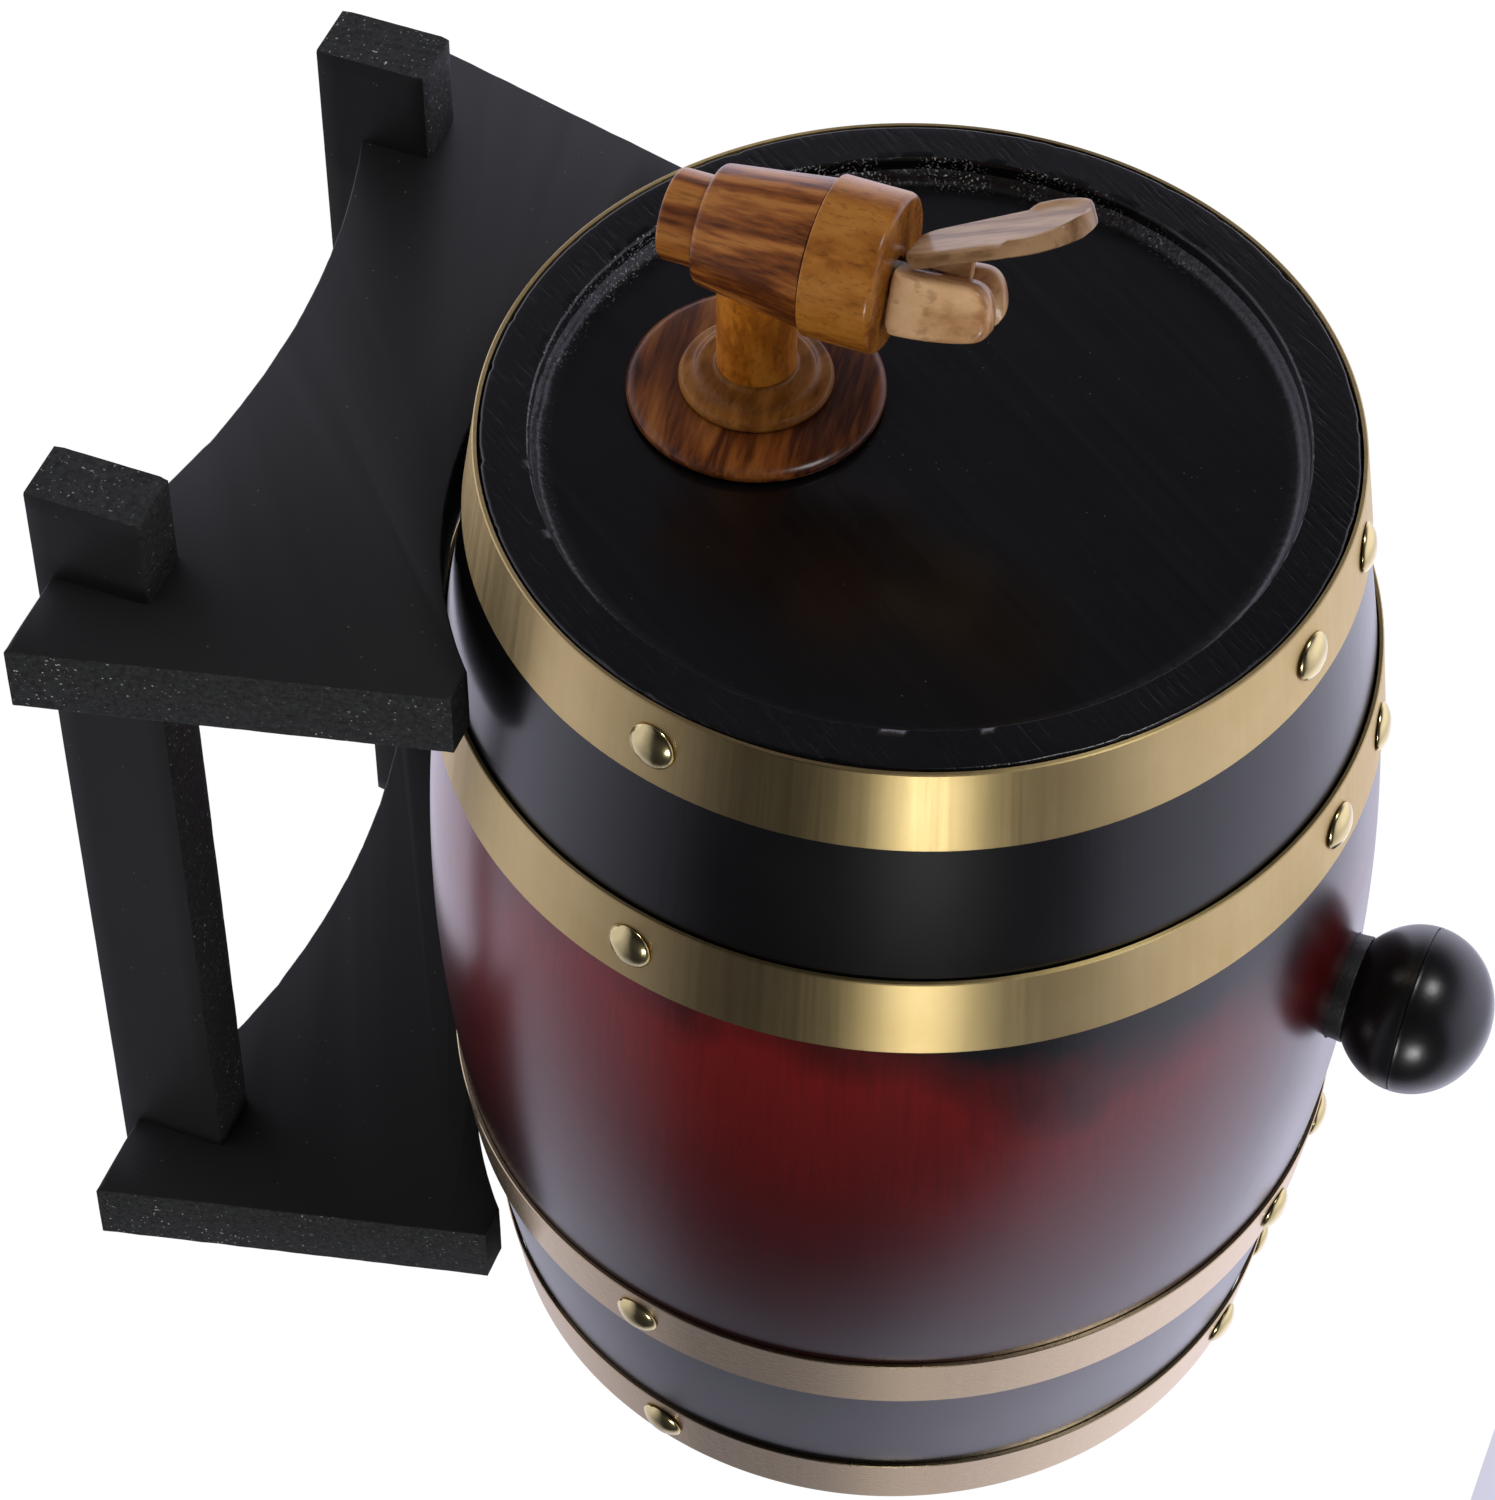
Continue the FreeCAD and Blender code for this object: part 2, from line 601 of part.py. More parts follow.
def paddle_outline(inset, start):
    """Paddle outline in its own plane: x sideways, y along, narrow end at y = 0."""
    tip = PADDLE_HALF_TIP - inset
    centre = PADDLE_LENGTH - PADDLE_HALF_TIP
    growth = (PADDLE_HALF_TIP - PADDLE_HALF_ROOT) / centre
    root = PADDLE_HALF_ROOT - inset + growth * start
    left = [Vector(-tip, centre, 0), Vector(-root, start, 0)]
    right = [Vector(root, start, 0), Vector(tip, centre, 0)]
    corners = left + right
    arc = Part.Arc(corners[3], Vector(0, centre + tip, 0), corners[0]).toShape()
    return Part.Face(Part.Wire(chain(corners) + [arc]))


def make_paddle():
    plate = paddle_outline(0, 0).extrude(Vector(0, 0, PADDLE_THICKNESS))
    plate = fillet_where(plate, 4.0, lambda e: e.BoundBox.YMax < 0.01 and e.BoundBox.ZLength > 1)
    rim = paddle_outline(0, LIP_START).cut(paddle_outline(LIP_WIDTH, LIP_START - 1))
    lip = rim.extrude(Vector(0, 0, LIP_HEIGHT + 0.5))
    lip.translate(Vector(0, 0, PADDLE_THICKNESS - 0.5))
    paddle = plate.fuse(lip).removeSplitter()
    # stand it up: along becomes up, its face turns to the front
    paddle.translate(Vector(0, 0, -PADDLE_THICKNESS))
    paddle.rotate(ORIGIN, X_AXIS, 90)
    paddle.rotate(ORIGIN, X_AXIS, PADDLE_TILT)
    paddle.translate(Vector(0, -PADDLE_ROOT[0], PADDLE_ROOT[1]))
    return paddle


def make_ear(side):
    """Rounded cheek: its rear heel bears on the bonnet as the lever is pushed back."""
    corners = [(-9.6, BONNET_TOP + 0.3), (3.4, BONNET_TOP + 0.3), (5.0, 12.5), (-5.6, 14.6)]
    rounding = (3.0, 2.0, 5.0, 5.0)
    inner, outer = sorted((side * EAR_INNER, side * EAR_OUTER))
    ear = side_plate(corners, inner, outer)
    for (forward, up), radius in zip(corners, rounding):
        corner = Vector(0, -forward, up)
        ear = fillet_where(ear, radius, lambda e: abs(e.CenterOfMass.y - corner.y) < 0.01
                           and abs(e.CenterOfMass.z - corner.z) < 0.01)
    return fillet_where(ear, 1.0, lambda e: abs(e.CenterOfMass.x - side * EAR_OUTER) < 0.01)


def make_lever():
    bridge_outline = [(-7.0, 3.6), (-4.2, 3.6), (-4.2, 11.0), (-5.6, 11.0)]
    bridge = side_plate(bridge_outline, -EAR_INNER - 0.5, EAR_INNER + 0.5)
    web = side_plate([(-5.0, 3.6), (3.9, 3.6), (3.9, -5.0), (5.4, -5.0), (11.4, 7.5), (-5.0, 7.5)], -1.6, 1.6)
    lever = make_paddle().fuse([web, bridge, make_ear(1), make_ear(-1)])
    lever = lever.cut(rod(PIN_RADIUS + 0.02, -20, 20, X_AXIS, Vector(0, 0, PIN_Z)))
    save("tap_lever", swivelled(lever), TAP_PLACE)
    pin = rod(PIN_RADIUS, -EAR_OUTER + 0.4, EAR_OUTER - 0.4, X_AXIS, Vector(0, 0, PIN_Z))
    save("lever_pin", swivelled(pin), TAP_PLACE)


make_barrel()
make_heads()
make_bung()
make_stand()
make_shank_pieces()
make_tap_body()
make_bonnet()
make_seat()
make_stem()
make_lever()
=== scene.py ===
import json
import math
import random
import bmesh
import bpy
from mathutils import Matrix, Vector, noise


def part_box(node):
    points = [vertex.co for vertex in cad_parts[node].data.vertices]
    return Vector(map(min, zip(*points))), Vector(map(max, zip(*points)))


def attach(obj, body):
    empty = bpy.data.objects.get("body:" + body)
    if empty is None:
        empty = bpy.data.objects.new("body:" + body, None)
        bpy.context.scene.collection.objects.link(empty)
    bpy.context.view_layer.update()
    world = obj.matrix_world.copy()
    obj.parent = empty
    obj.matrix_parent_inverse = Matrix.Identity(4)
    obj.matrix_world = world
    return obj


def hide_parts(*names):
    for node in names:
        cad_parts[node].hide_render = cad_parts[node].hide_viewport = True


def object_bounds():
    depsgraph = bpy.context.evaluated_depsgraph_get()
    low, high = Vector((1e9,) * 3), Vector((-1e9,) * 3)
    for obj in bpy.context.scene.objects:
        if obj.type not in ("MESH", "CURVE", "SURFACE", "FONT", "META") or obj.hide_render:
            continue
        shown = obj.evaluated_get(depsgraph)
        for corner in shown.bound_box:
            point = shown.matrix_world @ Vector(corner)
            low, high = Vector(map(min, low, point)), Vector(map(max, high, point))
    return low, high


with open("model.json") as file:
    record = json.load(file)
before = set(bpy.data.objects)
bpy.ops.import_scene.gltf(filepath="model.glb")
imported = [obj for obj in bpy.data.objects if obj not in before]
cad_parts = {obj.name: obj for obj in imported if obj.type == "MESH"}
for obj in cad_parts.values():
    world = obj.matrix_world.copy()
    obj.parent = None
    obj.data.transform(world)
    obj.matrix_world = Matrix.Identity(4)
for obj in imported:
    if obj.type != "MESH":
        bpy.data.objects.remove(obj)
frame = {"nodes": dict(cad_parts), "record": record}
nodes = frame["nodes"]
cad_low, cad_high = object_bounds()
random.seed(7)

# ---- where things are, from the CAD frame ----
top_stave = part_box("stave_01")
low_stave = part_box("stave_09")
AXIS_Z = (top_stave[1].z + low_stave[0].z) / 2
MID_Y = (top_stave[0].y + top_stave[1].y) / 2
HALF = (top_stave[1].y - top_stave[0].y) / 2
BILGE = (top_stave[1].z - low_stave[0].z) / 2
tap_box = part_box("bonnet")
TAP = Vector(((tap_box[0].x + tap_box[1].x) / 2, (tap_box[0].y + tap_box[1].y) / 2, AXIS_Z))
shank_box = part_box("tap_shank")
SHANK_Z = (shank_box[0].z + shank_box[1].z) / 2
MM = 0.001
END_R = BILGE - 14.5 * MM
INNER_R = 74.5 * MM  # wall of the recess round the heads
HEAD_DEPTH = 5 * MM  # from the chime down to the head
FAR_SIDE = 2.4  # angle round the barrel, in radians, that is rubbed less smooth, and where the painted glints gather
CRADLE_R = 100 * MM


def stave_r(y):
    """Outside radius of the wood, y from the barrel's middle."""
    t = y / HALF
    return BILGE - (BILGE - END_R) * t ** 2 - 4.8 * MM * t ** 2 * (1 - t ** 2)


# ---- node helpers ----
class Mat:
    """Small wrapper that keeps shader graphs short."""

    def __init__(self, name):
        self.material = bpy.data.materials.new(name)
        self.material.use_nodes = True
        self.tree = self.material.node_tree
        self.bsdf = self.tree.nodes["Principled BSDF"]
        self.coord = self.tree.nodes.new("ShaderNodeTexCoord").outputs["Object"]

    def put(self, socket, value):
        if isinstance(value, bpy.types.NodeSocket):
            self.tree.links.new(value, socket)
        elif value is not None:
            socket.default_value = value

    def set(self, **values):
        for key, value in values.items():
            name = key.replace("_", " ").title().replace("Ior", "IOR")
            if isinstance(value, tuple) and len(value) == 3:
                value = (*value, 1)
            self.put(self.bsdf.inputs[name], value)
        return self

    def math(self, kind, a, b=None, c=None, clamp=False):
        n = self.tree.nodes.new("ShaderNodeMath")
        n.operation = kind
        n.use_clamp = clamp
        for i, v in enumerate((a, b, c)):
            self.put(n.inputs[i], v)
        return n.outputs[0]

    def xyz(self, vector=None):
        n = self.tree.nodes.new("ShaderNodeSeparateXYZ")
        self.put(n.inputs[0], vector or self.coord)
        return n.outputs

    def join(self, x, y, z):
        n = self.tree.nodes.new("ShaderNodeCombineXYZ")
        for i, v in enumerate((x, y, z)):
            self.put(n.inputs[i], v)
        return n.outputs[0]

    def place(self, vector=None, scale=(1, 1, 1), turn=(0, 0, 0), shift=(0, 0, 0)):
        n = self.tree.nodes.new("ShaderNodeMapping")
        self.put(n.inputs["Vector"], vector or self.coord)
        n.inputs["Scale"].default_value = scale
        n.inputs["Rotation"].default_value = turn
        n.inputs["Location"].default_value = shift
        return n.outputs[0]

    def noise(self, vector=None, scale=5.0, detail=4.0, rough=0.55):
        n = self.tree.nodes.new("ShaderNodeTexNoise")
        self.put(n.inputs["Vector"], vector or self.coord)
        n.inputs["Scale"].default_value = scale
        n.inputs["Detail"].default_value = detail
        n.inputs["Roughness"].default_value = rough
        return n.outputs[0]

    def cells(self, scale):
        n = self.tree.nodes.new("ShaderNodeTexVoronoi")
        self.put(n.inputs["Vector"], self.coord)
        n.inputs["Scale"].default_value = scale
        return n.outputs["Distance"]

    def ramp(self, fac, stops, mode="LINEAR"):
        n = self.tree.nodes.new("ShaderNodeValToRGB")
        self.put(n.inputs[0], fac)
        n.color_ramp.interpolation = mode
        while len(n.color_ramp.elements) < len(stops):
            n.color_ramp.elements.new(0.5)
        for e, (pos, col) in zip(n.color_ramp.elements, stops):
            e.position = pos
            e.color = (*col, 1) if isinstance(col, tuple) else (col, col, col, 1)
        return n.outputs[0]

    def mix(self, fac, a, b, kind="MIX"):
        n = self.tree.nodes.new("ShaderNodeMix")
        n.data_type = "RGBA"
        n.blend_type = kind
        self.put(n.inputs[0], fac)
        self.put(n.inputs[6], (*a, 1) if isinstance(a, tuple) else a)
        self.put(n.inputs[7], (*b, 1) if isinstance(b, tuple) else b)
        return n.outputs[2]

    def bump(self, height, strength=0.2, distance=0.0005, normal=None):
        n = self.tree.nodes.new("ShaderNodeBump")
        n.inputs["Strength"].default_value = strength
        n.inputs["Distance"].default_value = distance
        self.put(n.inputs["Height"], height)
        if normal is not None:
            self.put(n.inputs["Normal"], normal)
        return n.outputs[0]


# ---- materials ----
def wrapped_noise(m, angle, y, per_radian, per_metre, **noise):
    """Noise laid round the barrel and along it, stretched by the two scales."""
    return m.noise(m.join(m.math("MULTIPLY", angle, per_radian), m.math("MULTIPLY", y, per_metre), 0.0),
        **noise)


def barrel_polar(m):
    """Angle round the barrel axis, radius and place along it, as sockets."""
    x, y, z = m.xyz(m.place(shift=(0, -MID_Y, -AXIS_Z)))
    angle = m.math("ARCTAN2", x, z)
    radius = m.math("SQRT", m.math("ADD", m.math("MULTIPLY", x, x), m.math("MULTIPLY", z, z)))
    return angle, radius, y


def painted_far_glints(m, angle):
    """Painted highlights: small pale glints painted into the colour of the recess round the head, thickest on
    its far side.
    """
    spots = m.ramp(m.noise(scale=1700, detail=2), [(0.60, 0.0), (0.66, 0.75)])
    groups = m.ramp(m.noise(scale=90, detail=1), [(0.42, 0.0), (0.60, 1.0)])
    side = m.ramp(m.math("COSINE", m.math("ADD", angle, FAR_SIDE)), [(0.1, 0.08), (0.85, 0.9)])
    return m.math("MULTIPLY", m.math("MULTIPLY", spots, groups), side)


def sunburst():
    m = Mat("sunburst_lacquer")
    angle, radius, y = barrel_polar(m)
    # grain runs along the barrel: stretched noise in (angle, y)
    flat = m.join(m.math("MULTIPLY", angle, 0.092), m.math("MULTIPLY", y, 0.045), 0.0)
    streak = m.noise(flat, scale=900, detail=5, rough=0.6)
    broad = wrapped_noise(m, angle, y, 0.092, 0.35, scale=60, detail=3)
    cloud = m.noise(scale=26, detail=3)
    wander = m.math("MULTIPLY", m.math("SUBTRACT", broad, 0.5), 0.022)
    wander = m.math("ADD", wander, m.math("MULTIPLY", m.math("SUBTRACT", cloud, 0.5), 0.030))
    set_back = m.ramp(m.math("DIVIDE", m.math("ABSOLUTE", angle), math.pi),
        [(0.03, 0.7), (0.19, 1.0), (0.29, 1.0), (0.43, 0.0)], "EASE")
    along = m.math("SUBTRACT", m.math("ADD", y, wander), m.math("MULTIPLY", set_back, 0.019))
    place = m.math("ADD", m.math("DIVIDE", along, 2 * HALF), 0.5)
    paint = m.ramp(place, [
        (0.235, (0.0022, 0.0020, 0.0021)), (0.275, (0.060, 0.0017, 0.0014)), (0.32, (0.118, 0.0022, 0.0017)),
        (0.38, (0.094, 0.0020, 0.0016)), (0.44, (0.074, 0.0017, 0.0014)), (0.50, (0.048, 0.0014, 0.0014)),
        (0.56, (0.035, 0.0013, 0.0014)), (0.62, (0.0230, 0.0014, 0.0016)), (0.68, (0.0130, 0.0017, 0.0019)),
        (0.78, (0.0022, 0.0020, 0.0021))])
    # painted shade: the red is dimmed round the top of the barrel
    painted_top_shade = m.ramp(m.math("ABSOLUTE", angle), [(0.22, 0.42), (0.62, 1.0)])
    paint = m.mix(1.0, paint, painted_top_shade, "MULTIPLY")
    streaky = m.ramp(m.math("ADD", m.math("MULTIPLY", streak, 0.5), m.math("MULTIPLY", cloud, 0.5)),
        [(0.36, 0.74), (0.50, 1.0), (0.62, 1.14)])
    base = m.mix(1.0, paint, streaky, "MULTIPLY")
    outer = m.math("GREATER_THAN", radius, 0.0805)
    wood = m.mix(m.noise(flat, scale=500), (0.30, 0.19, 0.10), (0.42, 0.28, 0.16))
    end = m.math("GREATER_THAN", m.math("ABSOLUTE", y), HALF - 0.0125)
    painted = m.math("MAXIMUM", outer, end)
    colour = m.mix(painted, wood, base)
    rough = m.math("ADD", 0.25, m.math("MULTIPLY", m.math("SUBTRACT", cloud, 0.5), 0.10))
    fine = m.bump(streak, 0.045, 0.0003)
    ripple = m.bump(wrapped_noise(m, angle, y, 0.092, 0.12, scale=110, detail=2), 0.035, 0.0012, fine)
    # saw marks and chips on the flat ends
    saw_place = m.place(turn=(0, math.radians(54), 0))
    saw = m.noise(m.place(saw_place, scale=(14, 14, 900)), scale=1.0, detail=4, rough=0.65)
    pits = m.ramp(m.noise(m.place(saw_place, scale=(120, 120, 900)), scale=1.0, detail=2),
        [(0.30, 0.0), (0.42, 1.0)])
    end_flat = m.math("GREATER_THAN", m.math("ABSOLUTE", y), HALF - 0.0006)
    rim = m.bump(m.math("MULTIPLY", end_flat, m.math("ADD", saw, m.math("MULTIPLY", pits, 0.5))), 0.20,
        0.0004, ripple)
    dust = m.ramp(m.noise(scale=2600, detail=1), [(0.76, 0.0), (0.80, 1.0)])
    dust = m.math("MULTIPLY", dust, end_flat)
    colour = m.mix(m.math("MULTIPLY", dust, 0.25), colour, (0.30, 0.30, 0.30))
    # painted highlights: pale glints painted into the colour of the recess wall round the heads
    wall = m.math("MULTIPLY", m.math("LESS_THAN", radius, 0.0753),
        m.math("GREATER_THAN", m.math("ABSOLUTE", y), HALF - 0.0045))
    colour = m.mix(m.math("MULTIPLY", wall, painted_far_glints(m, angle)), colour, (0.55, 0.55, 0.55))
    m.set(base_color=colour, roughness=rough, normal=rim, specular_ior_level=0.5)
    return m.material


def head_lacquer():
    m = Mat("black_lacquer")
    angle, radius, _ = barrel_polar(m)
    turned = m.place(turn=(0, math.radians(54), 0))
    grain = m.noise(m.place(turned, scale=(10, 10, 420)), scale=1.0, detail=5, rough=0.62)
    wave = m.noise(m.place(turned, scale=(5, 5, 60)), scale=1.0, detail=2)
    lumps = m.noise(scale=38, detail=2)
    specks = m.ramp(m.cells(scale=420), [(0.035, 1.0), (0.075, 0.0)])
    some = m.ramp(m.noise(scale=70, detail=1), [(0.58, 0.0), (0.66, 1.0)])
    specks = m.math("MULTIPLY", specks, some)
    colour = m.mix(m.math("MULTIPLY", specks, 0.45), (0.0024, 0.0022, 0.0022), (0.16, 0.16, 0.15))
    bead = m.ramp(radius, [(0.0722, 0.0), (0.0732, 1.0)])
    # painted highlights: pale glints painted into the colour of the lacquer bead
    colour = m.mix(m.math("MULTIPLY", bead, painted_far_glints(m, angle)), colour, (0.55, 0.55, 0.55))
    rough = m.math("ADD", m.math("MULTIPLY", grain, 0.16), m.math("MULTIPLY", bead, 0.18))
    rough = m.math("ADD", rough, 0.13)
    n = m.bump(grain, 0.07, 0.00045)
    n = m.bump(wave, 0.05, 0.0010, n)
    n = m.bump(lumps, 0.07, 0.0020, n)
    n = m.bump(m.math("MULTIPLY", bead, m.noise(scale=700, detail=2)), 0.4, 0.0006, n)
    m.set(base_color=colour, roughness=rough, normal=n, specular_ior_level=0.5)
    return m.material


def hoop_brass():
    m = Mat("hoop_brass")
    angle, _, y = barrel_polar(m)
    fine = wrapped_noise(m, angle, y, 0.9, 70.0, scale=60, detail=4, rough=0.7)
    scratches = wrapped_noise(m, angle, y, 3.0, 260.0, scale=12, detail=3)
    stain = m.noise(scale=55, detail=4, rough=0.6)
    tint = m.mix(m.ramp(stain, [(0.35, 0.0), (0.75, 1.0)]), (0.60, 0.465, 0.215), (0.55, 0.410, 0.175))
    back_end = m.math("GREATER_THAN", y, 0.0)
    # painted reflection: the rear hoops get a paler, less yellow copy of the brass colour, standing in for the
    # pale surroundings they mirror
    tint = m.mix(back_end, tint, (0.60, 0.465, 0.290))
    tint = m.mix(m.ramp(fine, [(0.2, 0.16), (0.8, 0.0)]), tint, (0.25, 0.17, 0.08))
    across = wrapped_noise(m, angle, y, 60.0, 12.0, scale=1.0, detail=4, rough=0.65)
    rough = m.math("ADD", 0.36, m.math("MULTIPLY", scratches, 0.10))
    across = m.math("MULTIPLY", m.math("SUBTRACT", across, 0.5),
        m.math("SUBTRACT", 1.0, m.math("MULTIPLY", back_end, 0.85)))
    rough = m.math("ADD", rough, m.math("MULTIPLY", across, 0.24))
    rough = m.math("SUBTRACT", rough, m.math("MULTIPLY", back_end, 0.13))
    tangent = m.tree.nodes.new("ShaderNodeTangent")
    tangent.direction_type = "RADIAL"
    tangent.axis = "Y"
    n = m.bump(across, 0.06, 0.0002, m.bump(fine, 0.10, 0.00015))
    m.set(base_color=tint, metallic=1.0, roughness=rough, anisotropic=0.82, anisotropic_rotation=0.25,
        tangent=tangent.outputs[0], normal=n)
    return m.material


def tack_brass():
    m = Mat("tack_brass")
    n = m.bump(m.noise(scale=500, detail=3), 0.10, 0.0003)
    m.set(base_color=(0.60, 0.50, 0.24), metallic=1.0, roughness=0.20, normal=n)
    return m.material


def stand_paint():
    """Satin black paint: smooth on faces, speckled and rough on sawn edges (the edge attribute)."""
    m = Mat("stand_paint")
    edge = m.tree.nodes.new("ShaderNodeAttribute")
    edge.attribute_name = "sawn"
    sawn = edge.outputs["Fac"]
    fibre = m.noise(scale=900, detail=4, rough=0.7)
    coarse = m.noise(scale=260, detail=3, rough=0.6)
    specks = m.ramp(m.noise(scale=1250, detail=1), [(0.69, 0.0), (0.74, 1.0)])
    patch = m.ramp(m.noise(scale=35, detail=2), [(0.42, 0.15), (0.62, 1.0)])
    few = m.ramp(m.cells(scale=230), [(0.03, 1.0), (0.06, 0.0)])
    flecks = m.math("ADD", m.math("MULTIPLY", m.math("MULTIPLY", specks, sawn), patch),
        m.math("MULTIPLY", few, 0.20))
    face = m.mix(m.noise(scale=30, detail=3), (0.0088, 0.0088, 0.0090), (0.0112, 0.0110, 0.0112))
    rawish = m.mix(m.ramp(fibre, [(0.35, 0.0), (0.7, 1.0)]), (0.0050, 0.0052, 0.0050), (0.026, 0.028, 0.026))
    colour = m.mix(sawn, face, rawish)
    colour = m.mix(m.math("MULTIPLY", flecks, 0.85, clamp=True), colour, (0.42, 0.43, 0.40))
    rough = m.mix(sawn, (0.50, 0.50, 0.50), (0.70, 0.70, 0.70))
    smooth = m.bump(m.noise(scale=420, detail=2), 0.03, 0.0004)
    height = m.math("ADD", m.math("MULTIPLY", fibre, 0.6), coarse)
    n = m.bump(m.math("MULTIPLY", height, sawn), 0.55, 0.0007, smooth)
    m.set(base_color=colour, roughness=rough, normal=n, specular_ior_level=0.28)
    return m.material


def knob_black():
    m = Mat("knob_black")
    n = m.bump(m.noise(scale=900, detail=2), 0.05, 0.0003)
    n = m.bump(m.noise(scale=160, detail=2), 0.05, 0.0006, n)
    rough = m.ramp(m.noise(scale=60, detail=3), [(0.3, 0.24), (0.7, 0.31)])
    m.set(base_color=(0.0040, 0.0040, 0.0042), roughness=rough, normal=n, specular_ior_level=0.5)
    return m.material


def rubber(name, tone, rough):
    m = Mat(name)
    n = m.bump(m.noise(scale=1300, detail=3, rough=0.7), 0.35, 0.0004)
    shade = m.mix(m.noise(scale=300, detail=3), tuple(tone * 0.7 for _ in range(3)),
        tuple(tone * 1.3 for _ in range(3)))
    m.set(base_color=shade, roughness=rough, normal=n)
    return m.material


def printed_grain(name, dark, mid, light, stretch, turn=(0, 0, 0), ring=7.0, contrast=1.0, shine=0.25):
    """Glossy plastic printed with a wood grain: broad rings, streaks and short dark pores."""
    m = Mat(name)
    base = m.place(m.place(shift=tuple(-v for v in TAP)), turn=turn)
    long = m.place(base, scale=stretch)
    warp = m.noise(m.place(base, scale=tuple(v * 0.35 for v in stretch)), scale=40, detail=3)
    rings = m.tree.nodes.new("ShaderNodeTexWave")
    rings.wave_type = "BANDS"
    rings.bands_direction = "X"
    rings.inputs["Scale"].default_value = ring * 10
    rings.inputs["Distortion"].default_value = 14.0
    rings.inputs["Detail"].default_value = 4.0
    rings.inputs["Detail Scale"].default_value = 1.4
    rings.inputs["Detail Roughness"].default_value = 0.62
    m.put(rings.inputs["Vector"], long)
    streak = m.noise(long, scale=900, detail=6, rough=0.65)
    pores = m.ramp(m.noise(m.place(base, scale=tuple(v * 1.8 for v in stretch)), scale=620, detail=2),
        [(0.34, 1.0), (0.42, 0.0)])
    tone = m.math("ADD", m.math("MULTIPLY", rings.outputs["Fac"], 0.30), m.math("MULTIPLY", warp, 0.32))
    tone = m.math("ADD", tone, m.math("MULTIPLY", streak, 0.50))
    half = 0.23 / contrast
    colour = m.ramp(tone, [(0.56 - half, dark), (0.56, mid), (0.56 + half, light)])
    colour = m.mix(m.math("MULTIPLY", pores, 0.30), colour, tuple(v * 0.35 for v in dark))
    n = m.bump(m.noise(m.coord, scale=260, detail=2), 0.03, 0.0004)
    m.set(base_color=colour, roughness=0.27, normal=n, specular_ior_level=shine, coat_weight=0.07,
        coat_roughness=0.08)
    return m.material


def plain(name, colour, rough, metal=0.0):
    m = Mat(name)
    n = m.bump(m.noise(scale=400, detail=3), 0.06, 0.0003)
    shade = m.mix(m.noise(scale=120, detail=3), tuple(v * 0.93 for v in colour),
        tuple(min(1, v * 1.07) for v in colour))
    m.set(base_color=shade, roughness=rough, metallic=metal, normal=n)
    return m.material


M = {
    "sunburst_lacquer": sunburst(),
    "black_lacquer": head_lacquer(),
    "hoop_brass": hoop_brass(),
    "tack_brass": tack_brass(),
    "stand_paint": stand_paint(),
    "knob_black": knob_black(),
    "bung_rubber": rubber("bung_rubber", 0.0045, 0.5),
    "gasket_rubber": rubber("gasket_rubber", 0.012, 0.6),
    "walnut_print": printed_grain("walnut_print", (0.070, 0.017, 0.004), (0.205, 0.060, 0.010),
        (0.330, 0.125, 0.024), (1.0, 1.0, 0.10), contrast=1.25, ring=5.0),
    "walnut_disc": printed_grain("walnut_disc", (0.035, 0.009, 0.003), (0.125, 0.034, 0.007),
        (0.200, 0.068, 0.013), (0.10, 1.0, 1.0), turn=(0, math.radians(8), 0), contrast=1.1, ring=5.0),
    "amber_print": printed_grain("amber_print", (0.170, 0.052, 0.006), (0.285, 0.100, 0.012),
        (0.350, 0.142, 0.022), (1.0, 1.0, 0.45), ring=3.0, contrast=1.0),
    # shank copy of the amber print: partly its own redder tone, partly painted light, made brighter where the
    # shank lies in shade
    "amber_stem_lit": printed_grain("amber_stem_lit", (0.240, 0.066, 0.006), (0.460, 0.145, 0.013),
        (0.560, 0.210, 0.024), (1.0, 0.45, 1.0), ring=3.0),
    "flange_print": printed_grain("flange_print", (0.110, 0.036, 0.007), (0.210, 0.078, 0.014),
        (0.270, 0.115, 0.024), (0.3, 1.0, 1.0), ring=3.0, shine=0.12),
    "paddle_print": printed_grain("paddle_print", (0.130, 0.060, 0.022), (0.270, 0.155, 0.075),
        (0.340, 0.210, 0.112), (1.0, 0.35, 0.16), ring=3.0, contrast=1.1, shine=0.06,
        turn=(math.radians(-25), 0, math.radians(22))),
    "tan_print": printed_grain("tan_print", (0.330, 0.155, 0.060), (0.580, 0.340, 0.165),
        (0.660, 0.420, 0.225), (1.0, 0.35, 0.16), ring=3.0, contrast=1.0, shine=0.20,
        turn=(math.radians(-25), 0, math.radians(22))),
    "black_plastic": plain("black_plastic", (0.015, 0.015, 0.015), 0.4),
    "silicone": plain("silicone", (0.75, 0.75, 0.72), 0.5),
    "pale_plastic": plain("pale_plastic", (0.42, 0.40, 0.37), 0.4),
    "pin_steel": plain("pin_steel", (0.56, 0.56, 0.57), 0.25, 1.0),
}


# ---- mesh helpers ----
def new_piece(name, bm, slot_name, body, replaced=(), material=None, smooth=True, angle=40):
    mesh = bpy.data.meshes.new(name)
    bmesh.ops.recalc_face_normals(bm, faces=bm.faces)
    bm.to_mesh(mesh)
    bm.free()
    obj = bpy.data.objects.new(name, mesh)
    bpy.context.scene.collection.objects.link(obj)
    mesh.materials.append(M[material or slot_name])
    if smooth:
        shade(obj, angle)
    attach(obj, body)
    if replaced:
        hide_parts(*replaced)
    return obj


def shade(obj, angle):
    mesh = obj.data
    for p in mesh.polygons:
        p.use_smooth = True
    mesh.set_sharp_from_angle(angle=math.radians(angle))


